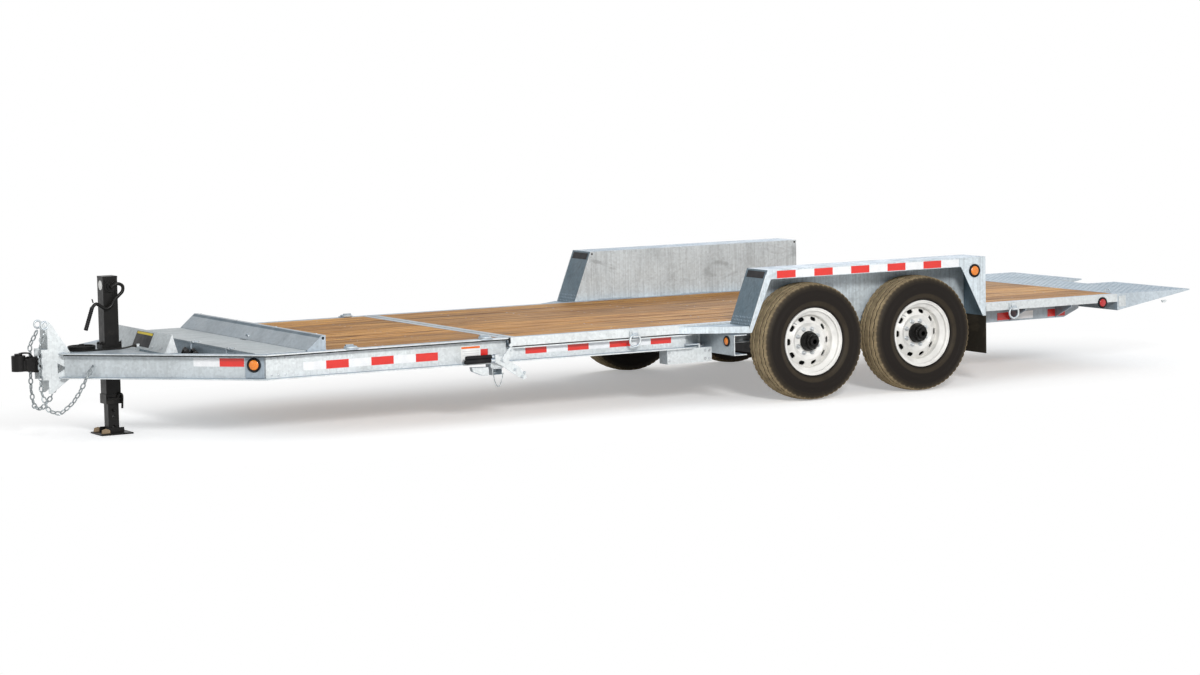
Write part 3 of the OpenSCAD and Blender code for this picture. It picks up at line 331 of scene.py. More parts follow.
class Shape:
    """Mesh parts in millimetres, turned into one piece by make()."""

    def __init__(self):
        self.bm = bmesh.new()

    def face(self, points):
        return self.bm.faces.new([self.bm.verts.new(p) for p in points])

    def loft(self, rings, caps=True):
        """Skin between rings of points that have the same count."""
        rows = [[self.bm.verts.new(p) for p in ring] for ring in rings]
        n = len(rows[0])
        for a, b in zip(rows, rows[1:]):
            for i in range(n):
                j = (i + 1) % n
                self.bm.faces.new((a[i], a[j], b[j], b[i]))
        if caps:
            self.bm.faces.new(list(reversed(rows[0])))
            self.bm.faces.new(rows[-1])
        return rows

    def prism(self, outline, depth_a, depth_b, plane="xz", bevel=0.0):
        """An outline in a plane, carried from depth_a to depth_b along the third axis."""
        def put(p, d):
            return {"xz": (p[0], d, p[1]), "xy": (p[0], p[1], d), "yz": (d, p[0], p[1])}[plane]
        rows = self.loft([[put(p, depth_a) for p in outline], [put(p, depth_b) for p in outline]])
        if bevel:
            edges = list({e for row in rows for v in row for e in v.link_edges})
            bmesh.ops.bevel(self.bm, geom=edges, offset=bevel, segments=2, affect="EDGES", clamp_overlap=True)

    def box(self, lo, hi, bevel=0.0):
        outline = [(lo[0], lo[1]), (hi[0], lo[1]), (hi[0], hi[1]), (lo[0], hi[1])]
        self.prism(outline, lo[2], hi[2], "xy", bevel)

    def lathe(self, centre, axis, profile, sides=32, caps=True):
        """Rings round an axis from pairs of distance along it and radius."""
        turn = Vector(axis).to_track_quat("Z", "Y").to_matrix()
        self.loft([[Vector(centre) + turn @ Vector((radius * cos(a), radius * sin(a), along))
                    for a in around(sides)] for along, radius in profile], caps)

    def rod(self, a, b, r, sides=16, edge=0.0):
        """A straight bar with its two edges rounded by edge."""
        a, b = Vector(a), Vector(b)
        length = (b - a).length
        ends = [(0, r - edge), (edge, r), (length - edge, r), (length, r - edge)]
        self.lathe(a, b - a, ends if edge else [(0, r), (length, r)], sides)

    def tube(self, points, r, sides=10, closed=False):
        """A bar along a smooth curve through the points."""
        points = [Vector(p) for p in points]
        n = len(points)
        rings, side = [], None
        for i, p in enumerate(points):
            before = points[i - 1] if closed or i else p
            after = points[(i + 1) % n] if closed or i < n - 1 else p
            way = (after - before).normalized()
            side = side or way.orthogonal()
            side = (side - way * side.dot(way)).normalized()
            other = way.cross(side)
            rings.append([p + (side * cos(a) + other * sin(a)) * r for a in around(sides)])
        if closed:
            rows = self.loft(rings, caps=False)
            for k in range(sides):
                j = (k + 1) % sides
                self.bm.faces.new((rows[-1][k], rows[-1][j], rows[0][j], rows[0][k]))
        else:
            self.loft(rings)

    def nut(self, centre, axis, across, height, stud=0.0):
        """A hexagon nut with a rounded top on a washer, and its stud's end."""
        r = across / sqrt(3)
        self.lathe(centre, axis, [(0, r * 1.25), (1.6, r * 1.25), (1.6, r * 0.9)], 24)
        self.lathe(centre, axis, [(1.6, r), (height * 0.85, r), (height, r * 0.82)], 6)
        if stud:
            end = [(height, stud * 0.5), (height + stud * 0.5, stud * 0.5), (height + stud * 0.6, stud * 0.38)]
            self.lathe(centre, axis, end, 12)

    def mirror(self):
        """Adds the same parts again on the right side."""
        twin = self.bm.copy()
        bmesh.ops.scale(twin, vec=(1, -1, 1), verts=twin.verts)
        bmesh.ops.reverse_faces(twin, faces=twin.faces)
        mesh = bpy.data.meshes.new("twin")
        twin.to_mesh(mesh)
        self.bm.from_mesh(mesh)
        bpy.data.meshes.remove(mesh)
        twin.free()
        return self

    def make(self, name, mat, body="main_frame", smooth=35, replaces=()):
        """The finished piece, riding on its body."""
        bmesh.ops.recalc_face_normals(self.bm, faces=self.bm.faces)
        for v in self.bm.verts:
            v.co = at(*v.co)
        mesh = bpy.data.meshes.new(name)
        self.bm.to_mesh(mesh)
        self.bm.free()
        if smooth:
            mesh.shade_smooth()
            mesh.set_sharp_from_angle(angle=radians(smooth))
        mesh.materials.append(MAT[mat])
        obj = in_scene(name, mesh)
        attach(obj, body)
        if replaces:
            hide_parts(*replaces)
        return obj


def smooth_path(points, steps=6):
    """Points of a Catmull-Rom curve through the given ones."""
    pts = [Vector(p) for p in points]
    out = []
    for i, (p1, p2) in enumerate(zip(pts, pts[1:])):
        p0, p3 = pts[max(i - 1, 0)], pts[min(i + 2, len(pts) - 1)]
        for t in (k / steps for k in range(steps)):
            out.append(0.5 * (2 * p1 + (p2 - p0) * t + (2 * p0 - 5 * p1 + 4 * p2 - p3) * t * t
                              + (3 * p1 - p0 - 3 * p2 + p3) * t ** 3))
    return out + pts[-1:]


def dress(mat, *names):
    """Gives CAD nodes a finished material."""
    for name in names:
        materials = NODES[name].data.materials
        materials.clear()
        materials.append(MAT[mat])


# Deck boards


def boards(name, x0, x1, width, joists, body, node):
    """Eleven boards with eased edges, each a little off its neighbours, with two screws at each joist."""
    count, gap, ease = 11, 4, 2.2
    board_w = (width - (count - 1) * gap) / count
    rng = random.Random(name)
    shape = Shape()
    layer = shape.bm.verts.layers.float.new("board")
    for i in range(count):
        y = -width / 2 + i * (board_w + gap)
        drop = rng.uniform(0, 1.2)
        rows = 24
        known = set(shape.bm.verts)
        rings = []
        for k in range(rows + 1):
            x = x0 + (x1 - x0) * k / rows
            top = DECK_TOP - drop - 0.4 * (1 + sin(k * 1.7 + i * 2.3))
            a, b = y + rng.uniform(0, 0.8), y + board_w - rng.uniform(0, 0.8)
            rings.append([(x, a, PLANK_BOT), (x, b, PLANK_BOT), (x, b, top - ease), (x, b - ease, top),
                          (x, a + ease, top), (x, a, top - ease)])
        shape.loft(rings)
        tone = rng.random()
        for v in set(shape.bm.verts) - known:
            v[layer] = tone
    shape.make(name, "boards", body, replaces=(node,))
    screws = Shape()
    for i in range(count):
        y = -width / 2 + i * (board_w + gap)
        for x in joists:
            for part in (0.22, 0.78):
                screws.lathe((x, y + board_w * part, DECK_TOP - 2.2), UP, [(0, 5.5), (1.4, 5.5), (0.4, 2.6)], 8)
    screws.make(name + "_screws", "bolt", body)


JOISTS_FRONT = [455, 835, 1215]
JOISTS_BED = [-35 - 405 * i for i in range(1, 12)]
boards("front_boards", BOARD_START, 1240, 1962, JOISTS_FRONT, "main_frame", "front_planks")
boards("bed_boards", WOOD_END_X + 2, -61, 1974, JOISTS_BED, "tilt_bed", "bed_planks")

# Tread plate


def lozenges(shape, inside, origin, u, v, n, size, pitch, high):
    """Raised lozenges, turned by turns, on a plane from origin along u and v."""
    origin, u, v, n = (Vector(p) for p in (origin, u, v, n))
    for i in range(int(size[0] / pitch)):
        for j in range(int(size[1] / pitch)):
            a, b = (i + 0.5) * pitch, (j + 0.5) * pitch
            if not inside(a, b):
                continue
            angle = radians(45 if (i + j) % 2 else -45)
            du, dv = cos(angle), sin(angle)
            c = origin + u * a + v * b
            along, across = u * du + v * dv, v * du - u * dv
            base = [c + along * pitch * 0.46, c + across * pitch * 0.13, c - along * pitch * 0.46,
                    c - across * pitch * 0.13]
            top = [c + (p - c) * 0.62 + n * high for p in base]
            shape.loft([base, top], caps=False)
            shape.face(top)


def tread_plates():
    """Lozenges on the tail deck, the steps and the feet of the fenders' slopes."""
    tail = Shape()
    slot_half, slot_len = 190, 240
    length, width, edge = WOOD_END_X - TAIL_X, 2 * HALF_W, 16

    def on_tail(a, b):
        if min(a, length - a) < edge or min(b, width - b) < edge:
            return False
        return not (a < slot_len + edge and abs(b - HALF_W) < slot_half + edge)
    lozenges(tail, on_tail, (TAIL_X, -HALF_W, DECK_TOP), AHEAD, LEFT, UP, (length, width), 27, 1.3)
    tail.make("tail_tread", "zinc_tread", "tilt_bed", smooth=0)
    step = Shape()
    run, reach = STEP_FRONT_X - FENDER_FOOT_X, FENDER_HALF - HALF_W

    def on_step(a, b):
        return b + 10 < reach * (1 - a / run) and a > 8
    lozenges(step, on_step, (FENDER_FOOT_X, HALF_W, STEP_TOP), AHEAD, LEFT, UP, (run, reach), 24, 1.3)
    foot = Vector((FENDER_FOOT_X, FENDER_IN, BED_BOT)) + SLOPE_UP * 46 + SLOPE_OUT * 0.2
    size = (66, FENDER_HALF - FENDER_IN)
    lozenges(step, lambda a, b: True, foot, SLOPE_UP, LEFT, SLOPE_OUT, size, 22, 1.3)
    step.mirror().make("step_tread", "zinc_tread", "tilt_bed", smooth=0)


tread_plates()

# Reflective tape
BLOCK = 152.4
TAPE_Z = (414.6, 465.4)
TAIL_BEAM_Y = 847


def block(shape, a, b, z0, z1):
    """One block of tape between two places in plan."""
    shape.face([(*a, z0), (*b, z0), (*b, z1), (*a, z1)])


def tape():
    """Blocks of red and white tape on the left side, then the same on the right."""
    colors = ("red_tape", "white_tape")
    root, bed = ({color: Shape() for color in colors} for _ in range(2))
    lift = 0.6
    y = WEB_Y + lift
    for x_start, count, first in ((1240 + BLOCK, 1, 1), (1240, 5, 0), (190, 1, 0), (-138, 7, 0)):
        for k in range(count):
            x0, x1 = x_start - k * BLOCK, x_start - (k + 1) * BLOCK
            block(root[colors[(k + first) % 2]], (x0, y), (x1, y), *TAPE_Z)
    for s0, s1, color in ((306, 475, "white_tape"), (148, 306, "red_tape")):
        block(root[color], tongue(s0, lift, 0).xy, tongue(s1, lift, 0).xy, 452, 503)
    start, y = FENDER_FRONT_X - 70, FENDER_HALF + lift
    span = (start - (FENDER_REAR_X + 290)) / 9.5
    for k in range(10):
        x0 = start - k * span
        block(bed[colors[k % 2]], (x0, y), (x0 - span, y), FENDER_TOP - 56, FENDER_TOP - 8)
    y = TAIL_BEAM_Y + lift
    for x0, x1, color in ((-3900, -4045, "red_tape"), (-4045, -4205, "white_tape"), (-4330, -4480, "red_tape")):
        block(bed[color], (x0, y), (x1, y), 386, 437)
    for shapes, body, tag in ((root, "main_frame", "rail"), (bed, "tilt_bed", "fender")):
        for color, shape in shapes.items():
            shape.mirror().make(f"{color}_{tag}", color, body, smooth=0)


tape()

# Lamps


def lamp(ring, lens, centre, axis, r):
    """A rubber grommet round a domed lens with stepped rings."""
    collar = [(0, 1.42), (5, 1.45), (9, 1.36), (11, 1.18), (8, 1.02), (0, 1)]
    dome = [(1, 1), (7, 0.99), (9.5, 0.90), (11, 0.62), (10.4, 0.58), (12, 0.50), (12.6, 0.2)]
    ring.lathe(centre, axis, [(along, r * k) for along, k in collar], 40, caps=False)
    lens.lathe(centre, axis, [(along, r * k) for along, k in dome] + [(12.7, 0.2)], 40)


def lamps():
    """Marker lamps on the tongue, outriggers, fenders and bed, with their plates on the tongue."""
    face = tongue(1, 0, 0) - tongue(1, -1, 0)
    stands_for = {("main_frame", "amber"): ("front_lamps",), ("tilt_bed", "amber"): ("bed_lamps",),
                  ("tilt_bed", "red"): ()}
    rings = {"main_frame": Shape(), "tilt_bed": Shape()}
    lenses = {pair: Shape() for pair in stands_for}
    for body, color, centre, axis, r in (
            ("main_frame", "amber", tongue(82, 7, 464), face, 31),
            ("main_frame", "amber", (-1499, 1200, 423), AHEAD, 24),
            ("tilt_bed", "amber", (FENDER_REAR_X + 92, FENDER_HALF + 0.3, FENDER_TOP - 90), LEFT, 31),
            ("tilt_bed", "red", (WOOD_END_X + 132, HALF_W + 0.3, DECK_TOP - 54), LEFT, 27)):
        lamp(rings[body], lenses[body, color], centre, axis, r)
    for body, shape in rings.items():
        shape.mirror().make("lamp_rings_" + body.split("_")[1], "rubber", body)
    for (body, color), nodes in stands_for.items():
        name = f"{color}_lamps_" + body.split("_")[1]
        lenses[body, color].mirror().make(name, color, body, replaces=nodes)
    plate = Shape()
    a, b = tongue(18, 0.5, 0), tongue(140, 0.5, 0)
    c, d = tongue(140, 6, 0), tongue(18, 6, 0)
    plate.prism([(p.x, p.y) for p in (a, b, c, d)], RAIL_BOT + 10, DECK_TOP - 10, "xy", bevel=1.5)
    plate.mirror().make("lamp_plates", "zinc_painted_shade")


lamps()

# Wheels
TYRE_R = 385
# Half of the tyre's outer line from bead to crown: radius, distance from the middle, dust
TYRE_WALL = [(209, 76, 0.05), (221.5, 77.3, 0.05), (224, 83, 0.06), (228, 96, 0.1), (234, 100, 0.16),
             (240, 100.5, 0.22), (243, 103, 0.26), (262, 108.5, 0.22), (268, 110.2, 0.12), (271, 109.6, 0.08),
             (290, 111.8, 0.05), (304, 111.8, 0.04), (306, 110.8, 0.04), (322, 109.6, 0.06), (334, 107.6, 0.1),
             (338, 108.4, 0.14), (346, 106.4, 0.14), (354, 103.5, 0.2), (364, 98, 0.32)]
# Ribs and grooves of half the tread: distance from the middle, groove or not
TREAD = [(92, 0), (74, 0), (70, 1), (63, 1), (59, 0), (35, 0), (31, 1), (24, 1), (20, 0), (0, 0)]


def tyre(name, x, side):
    """A road tyre: stepped side walls, notched shoulders and five ribs parted by wavy grooves."""
    turns = 240
    shape = Shape()
    layer = shape.bm.verts.layers.float.new("dust")
    rings = []
    for i, angle in enumerate(around(turns)):
        wave = 2.6 * (1 if (i // 3) % 2 else -1)
        notch = i % 4 == 0
        sipe = i % 3 == 0
        half = [(r - (4 if notch and r > 350 else 0), w, d) for r, w, d in TYRE_WALL]
        crown = []
        for w, groove in TREAD:
            arc = 7.5 * (w / 92) ** 2
            r = TYRE_R - 0.8 - arc
            # Grooves get almost no dust and shoulder notches less than the ribs: bare rubber, and painted shade
            # in the recesses.
            if groove:
                crown.append((r - 9, w + wave, 0.06))
            elif w > 80:
                crown.append((r - (6 if notch else 0), w, 0.62))
            else:
                shift = wave if 0 < w < 76 else 0
                crown.append((r - (2.2 if sipe and w < 75 else 0), w + shift, 1.0))
        left = half + crown
        line = left + [(r, -w if w else 0, d) for r, w, d in reversed(left[:-1])]
        row = []
        for r, w, d in line:
            p = (x + r * sin(angle), side * (WHEEL_Y + w), WHEEL_Z + r * cos(angle))
            vert = shape.bm.verts.new(p)
            vert[layer] = d
            row.append(vert)
        rings.append(row)
    for i in range(turns):
        a, b = rings[i], rings[(i + 1) % turns]
        for j in range(len(a) - 1):
            shape.bm.faces.new((a[j], a[j + 1], b[j + 1], b[j]))
        shape.bm.faces.new((a[-1], a[0], b[0], b[-1]))
    shape.make("tyre_mesh_" + name, "tyre", "wheel_" + name, smooth=32, replaces=("tyre_" + name,))


def hub(name, x, side):
    """Black hub with its oil cap, lug nuts and a valve over the white rim."""
    axis = (0, side, 0)
    face_y = side * WHEEL_Y
    centre = (x, face_y, WHEEL_Z)
    cap = Shape()
    line = [(30, 66), (36, 66), (40, 62), (66, 58), (70, 55), (70, 47), (84, 46), (90, 43), (90, 33), (104, 32),
            (108, 28), (108, 17), (106, 15), (106, 0.5)]
    cap.lathe(centre, axis, line, 40)
    for a in around(6, 0.5):
        cap.nut((x + 51 * sin(a), face_y + side * 70, WHEEL_Z + 51 * cos(a)), axis, 9, 6)
    cap.make("hub_cap_" + name, "black", "wheel_" + name)
    nuts = Shape()
    for a in around(8, 0.5):
        nuts.nut((x + 82.5 * sin(a), face_y + side * 18, WHEEL_Z + 82.5 * cos(a)), axis, 21, 17, stud=14)
    foot, tip = (x + 128, face_y + side * 40, WHEEL_Z + 128), (x + 118, face_y + side * 74, WHEEL_Z + 118)
    nuts.rod(foot, tip, 4, 12, 1)
    nuts.make("lug_nuts_" + name, "bolt", "wheel_" + name)


for wheel, axle_x, side in WHEELS:
    tyre(wheel, axle_x, side)
    hub(wheel, axle_x, side)
    dress("white", "rim_" + wheel)

# Harness cord: out of the guard's socket, along the tongue's plate and into a coil round its plug
CORD_R = 5
CORD_Z = DECK_TOP + 0.3 + CORD_R
CORD_WAY = [(2120, 105, 12), (2142, 105, 12), (2165, 105, 7), (2190, 104, 3), (2220, 102, 0.5), (2250, 100, 0),
        (2280, 98, 0), (2310, 95, 0), (2340, 92, 0), (2370, 88, 0), (2395, 85, 0), (2415, 83, 0), (2436, 82, 0)]
COIL_X = 2436
COIL_TURNS = [(82, 0), (72, 0), (72, 1), (82, 1), (82, 2), (72, 2)]
PLUG_Y, PLUG_Z, PLUG_END = -30, 549.3, 2464
LEAD_IN_R = 42


def cord_points():
    """The lead, the turns of its coil seen clockwise from above, and a quarter bend into the plug."""
    points = [Vector((x, y, CORD_Z + up)) for x, y, up in CORD_WAY]
    steps = 40
    stop = 5 + (90 - degrees(asin(12 / 72))) / 360
    for i in range(1, int(stop * steps) + 1):
        turn, part = divmod(i / steps, 1)
        here, after = COIL_TURNS[int(turn)], COIL_TURNS[min(int(turn) + 1, 5)]
        t = min(max((part - 0.72) / 0.28, 0), 1)
        t = t * t * (3 - 2 * t)
        r = here[0] + (after[0] - here[0]) * t
        layer = here[1] + (after[1] - here[1]) * t
        angle = pi / 2 - tau * i / steps
        points.append(Vector((COIL_X + r * cos(angle), r * sin(angle), CORD_Z + 2 * CORD_R * layer)))
    top = CORD_Z + 4 * CORD_R
    for i in range(10):
        angle = radians(-90 * i / 9)
        z = top + (PLUG_Z - top) * (i / 9) ** 1.5
        points.append(Vector((PLUG_END + 2 + LEAD_IN_R * cos(angle), 12 + LEAD_IN_R * sin(angle), z)))
    points.append(Vector((PLUG_END - 6, PLUG_Y, PLUG_Z)))
    return points


def harness():
    """The cord, its strain relief at the socket and its plug."""
    points = cord_points()
    cord = Shape()
    cord.tube(points, CORD_R, 12)
    lead = cord.make("harness_cord", "rubber", replaces=("harness_lead", "harness_coil"))
    relief = Shape()
    line = [(0, 11.5), (3, 11.5), (4, 9.5), (9, 9.2), (10, 8.2), (14, 8.0), (15, 7.2), (19, 7.0), (20, 6.2),
            (25, 5.4)]
    relief.lathe((2120, 105, CORD_Z + 12), AHEAD, line, 24, caps=False)
    relief_piece = relief.make("harness_strain_relief", "rubber")
    plug = Shape()
    line = [(0, 13), (0, 17), (2, 18.6), (12, 18.6), (13, 17), (16, 17), (17, 18.8), (30, 18.8), (33, 16),
            (36, 15.5), (37, 14), (40, 14), (41, 12.6), (44, 12.6), (45, 11), (48, 10.8), (49, 9), (56, 6.2)]
    plug.lathe((COIL_X - 28, PLUG_Y, PLUG_Z), AHEAD, line, 32)
    plug.box((COIL_X - 26, PLUG_Y - 4, PLUG_Z + 15), (COIL_X + 4, PLUG_Y + 4, PLUG_Z + 18.8), bevel=1)
    for a in around(6):
        y, z = PLUG_Y + 8.5 * sin(a), PLUG_Z + 8.5 * cos(a)
        plug.box((COIL_X - 28.3, y - 2, z - 1), (COIL_X - 22, y + 2, z + 1))
    plug_piece = plug.make("harness_plug_body", "grip", replaces=("harness_plug",))


harness()

# Safety chains
CHAIN_R = 4.5
CHAIN_PITCH = 34
CHAIN_WAY = [(2446, 210.7, 448), (2500, 250, 392), (2535, 215, 300), (2580, 190, 225), (2650, 165, 166),
             (2712, 125, 185), (2740, 92, 300), (2740, 86, 575), (2699, 61, 664)]


def links(shape, points, pitch, wire, width):
    """Round links along a line of points, each turned a quarter from the last."""
    points = [Vector(p) for p in points]
    runs = [0.0]
    for a, b in zip(points, points[1:]):
        runs.append(runs[-1] + (b - a).length)
    count = round(runs[-1] / pitch)
    step = runs[-1] / count

    def along(s):
        i = max(k for k in range(len(points) - 1) if runs[k] <= s + 1e-6)
        return points[i].lerp(points[i + 1], (s - runs[i]) / (runs[i + 1] - runs[i]))
    for k in range(count):
        a, b = along(k * step), along((k + 1) * step - 0.001)
        way = (b - a).normalized()
        flat = way.cross(Vector(UP)) if abs(way.z) < 0.95 else way.cross(Vector(LEFT))
        flat.normalize()
        up = way.cross(flat)
        side = (flat + up).normalized() if k % 2 == 0 else (flat - up).normalized()
        half = step / 2 + wire
        bend = width / 2 - wire
        ring = []
        for t in around(14):
            stretch = (half - wire - bend) * (1 if cos(t) > 0 else -1)
            ring.append((a + b) / 2 + way * (stretch + bend * cos(t)) + side * bend * sin(t))
        shape.tube(ring, wire, 7, closed=True)


def chains():
    """Both chains, each with a bar through its end links."""
    chain = Shape()
    links(chain, CHAIN_WAY, CHAIN_PITCH, CHAIN_R, 3.7 * 2 * CHAIN_R)
    for x, y, z in ((2699, 61, 664), (2446, 205, 448)):
        chain.rod((x - 4, y - 2, z + 4), (x + 6, y + 3, z - 4), 7, 10, 2)
    chain.mirror().make("safety_chain_links", "chain", replaces=("safety_chains",))


chains()

# Jack
CRANK_Z = 919
CRANK_Y = 81


def jack():
    """Crank with its grip, gear cover, cap, pull handle, blank disc and the foot's tabs."""
    crank = Shape()
    y = CRANK_Y
    way = smooth_path([(JACK_X, y, CRANK_Z), (2222, y + 4, 936), (2190, y + 5, 922), (2190, y + 5, 890),
            (2212, y + 4, 866), (2240, y + 2, 840), (2262, y, 803), (2300, y, 785), (2338, y, 806),
            (2366, y, 818), (2394, y, 792)], 6)
    crank.tube(way, 10.5, 12)
    crank.rod((JACK_X, 63.8, CRANK_Z), (JACK_X, y + 8, CRANK_Z), 12, 20, 1.5)
    crank.rod((2382, y, 826), (2392, y + 8, 850), 4, 8, 1)
    crank.make("jack_crank_arm", "black", replaces=("jack_crank",))
    grip = Shape()
    a, b = Vector((2389, y, 800)), Vector((2437, y, 659))
    profile = [(0, 8.5), (2, 12), (6, 13)]
    length = (b - a).length
    for k in range(9):
        profile += [(12 + k * 14, 13), (14 + k * 14, 12), (18 + k * 14, 12), (20 + k * 14, 13)]
    profile += [(length - 4, 13), (length - 1, 11.5), (length, 9)]
    grip.lathe(a, b - a, profile, 20)
    grip.make("jack_crank_grip", "grip")
    trim = Shape()
    half = JACK_HALF
    trim.lathe((JACK_X, half, CRANK_Z), LEFT, [(0, 40), (4, 40), (7, 36), (7, 30)], 40)
    for dx, z in ((-30, 952), (30, 952), (-30, 886), (30, 886)):
        trim.nut((JACK_X + dx, half, z), LEFT, 10, 6)
    trim.nut((2240, half, 868), LEFT, 8, 4)
    trim.loft([[(JACK_X + sx * w, sy * w, z) for sx, sy in CORNERS]
               for w, z in ((half + 1, 972), (half + 1, 981.5), (half - 4, 981.9))])
    for side in (-1, 1):
        for dx in (-62, 62):
            trim.nut((JACK_X + dx, side * 28, 560), UP, 16, 11, stud=9)
    pull = smooth_path([(2238, 54, 214), (2226, 62, 246), (2212, 64, 250), (2205, 64, 236), (2206, 64, 200),
            (2208, 64, 160)], 5)
    trim.tube(pull, 7, 10)
    trim.rod((2310, 53, 222), (2200, 53, 222), 9, 16, 2)
    for x in (2278, 2236):
        trim.nut((x, 52.5, 218), LEFT, 12, 8)
    trim.rod((JACK_X, -56, 150), (JACK_X, 56, 150), 9, 16, 2)
    trim.make("jack_trim", "black")
    disc = Shape()
    disc.lathe((JACK_X + JACK_HALF, 2, 926), AHEAD, [(0, 30), (0.6, 30), (0.8, 29)], 40)
    disc.make("jack_blank_disc", "label")
    sole = Shape()
    tab = [(JACK_X + 40, 10), (JACK_X + 96, 10), (JACK_X + 92, 34), (JACK_X + 66, 40), (JACK_X + 40, 30)]
    for sy in (-1, 1):
        sole.prism(tab, sy * 72, sy * 66, bevel=1)
    sole.make("jack_foot_tabs", "sand")


jack()

# Ball coupler
BALL_X, BALL_Z = 2846.65, 462


def coupler():
    """Cast head with ribs, its latch handle and the bolts through the nose's channel."""
    x, z = BALL_X, BALL_Z
    cast = Shape()
    cast.loft([[(x - 104 + dx, y * w, z + h * k) for y, h in CORNERS]
               for dx, w, k in ((0, 33, 36), (30, 31, 34), (72, 40, 30))])
    cheek = [(x - 116, z - 44), (x - 92, z - 44), (x - 18, z - 32), (x - 18, z + 30), (x - 70, z + 52),
             (x - 116, z + 46)]
    for y in (-34, 34):
        cast.prism(cheek, y - 4, y + 4, bevel=2)
    dome = [(0, 43.0), (5, 43.3), (30, 43.3), (34, 41.5), (60, 41), (74, 38), (88, 30), (95, 18), (95.5, 0.5)]
    cast.lathe((x, 0, z - 33.5), UP, dome, 40, caps=False)
    cast.lathe((x, 0, z - 34), UP, [(0, 30), (0, 43.2), (6, 43.2)], 40, caps=False)
    handle = smooth_path([(x - 92, 0, z + 48), (x - 70, 0, z + 72), (x - 36, 0, z + 77), (x - 6, 0, z + 74)], 5)
    cast.loft([[p + Vector((0, y * w, h)) for y, h in ((-1, -5), (1, -5), (1, 4), (-1, 4))]
               for p, w in ((q, 15 - 4 * i / len(handle)) for i, q in enumerate(handle))])
    cast.rod((x - 84, -44, z + 36), (x - 84, 44, z + 36), 8, 16, 1.5)
    cast.make("coupler_casting", "cast")
    bolts = Shape()
    for row in (-64, 64):
        bolts.nut((2688, 0, z + row), AHEAD, 24, 14, stud=16)
    for y in (-40, 40):
        for dz in (-24, 24):
            bolts.nut((x - 122, y, z + dz), (0, 1 if y > 0 else -1, 0), 18, 10)
    bolts.make("coupler_bolts", "bolt")


coupler()

# Toolbox, stop rail and hose guard


def front_end():
    """Lid fittings, painted shade on the stop rail's fold and in the lid's slot, hoses in their tray and the
    guard's blank sign.
    """
    bolts = Shape()
    ring = Shape()
    for y in (-560, 0, 560):
        for dy in (-44, 36):
            bolts.nut((1668, y + dy, LID_TOP), UP, 11, 6)
        ring.box((1650, y - 30, LID_TOP), (1694, y + 26, LID_TOP + 2.5), bevel=0.8)
    bolts.make("lid_bolts", "bolt", "lid")
    loop = smooth_path([(1345, 22, 536), (1345, 24, 556), (1345, 40, 565), (1345, 56, 556), (1345, 58, 536)], 5)
    ring.tube(loop, 4.5, 10)
    ring.box((1330, 62, LID_TOP), (1352, 70, 562), bevel=1)
    ring.make("lid_fittings", "zinc", "lid")
    # Painted shade: a dark band on the upper part of the stop rail's slope, where the fold leaves it in shade.
    fold = Shape()
    foot, crest = Vector((1368, 0, DECK_TOP)), Vector((1268, 0, DECK_TOP + 92))
    out = Vector((0.677, 0, 0.736))
    places = ((0.5, -990), (0.5, 990), (0.97, 990), (0.97, -990))
    fold.loft([[foot.lerp(crest, t) + out * lift + Vector((0, y, 0)) for t, y in places]
               for lift in (0.1, 0.8)])
    fold.make("stop_rail_painted_shade", "zinc_painted_fold_shade")
    # Painted shade: a thin black box stands for the dark inside of the lid's slot.
    slot = Shape()
    slot.box((1379, 24, LID_TOP + 0.2), (1390, 104, LID_TOP + 0.8))
    slot.make("lid_slot", "dark", "lid")
    hose = Shape()
    for y, z, r, x in ((-90, 428, 60, 1716), (-20, 426, 60, 1732), (56, 430, 64, 1720), (136, 424, 58, 1734)):
        arc = [(x + 6 * sin(a * 2), y + r * cos(a), z + r * sin(a)) for a in around(32)[:17]]
        arc = [(x, y + r, z - 50)] + arc + [(x, y - r, z - 50)]
        hose.tube(smooth_path(arc, 3), 9.5, 10)
        for dy in (-r, r):
            hose.lathe((x, y + dy, z - 52), UP, [(0, 13), (16, 13), (18, 10)], 6)
    hose.make("toolbox_hoses", "grip")
    wall = Shape()
    wall.box((1697, -640, 392), (1700, 640, 519), bevel=1)
    wall.prism([(1697, -640), (1760, -600), (1760, 600), (1697, 640)], 386, 390, "xy", bevel=1)
    wall.make("hose_tray", "zinc_painted_shade")
    sign, band = Shape(), Shape()

    def lean(y, t, out):
        return (2110.2 - 50 * t + out * 0.913, y, DECK_TOP + 112 * t + out * 0.408)
    for shape, t0, t1, out, y0, y1 in ((sign, 0.12, 0.90, 0.9, 4, 268), (band, 0.76, 0.88, 1.3, 12, 260)):
        shape.loft([[lean(y, t, lift) for y, t in ((y0, t0), (y1, t0), (y1, t1), (y0, t1))]
                    for lift in (0, out)])
    sign.make("guard_blank_sign", "label_dark")
    band.make("guard_sign_band", "yellow")
    trim = Shape()
    for y in (-430, -200, 330, 470):
        trim.nut((2102, y, DECK_TOP + 24), (0.913, 0, 0.408), 13, 7)
    for half in (900, 300):
        for side in (-1, 1):
            trim.nut((1262, side * half, DECK_TOP + 92), UP, 13, 6)
    trim.make("front_end_bolts", "bolt")


front_end()
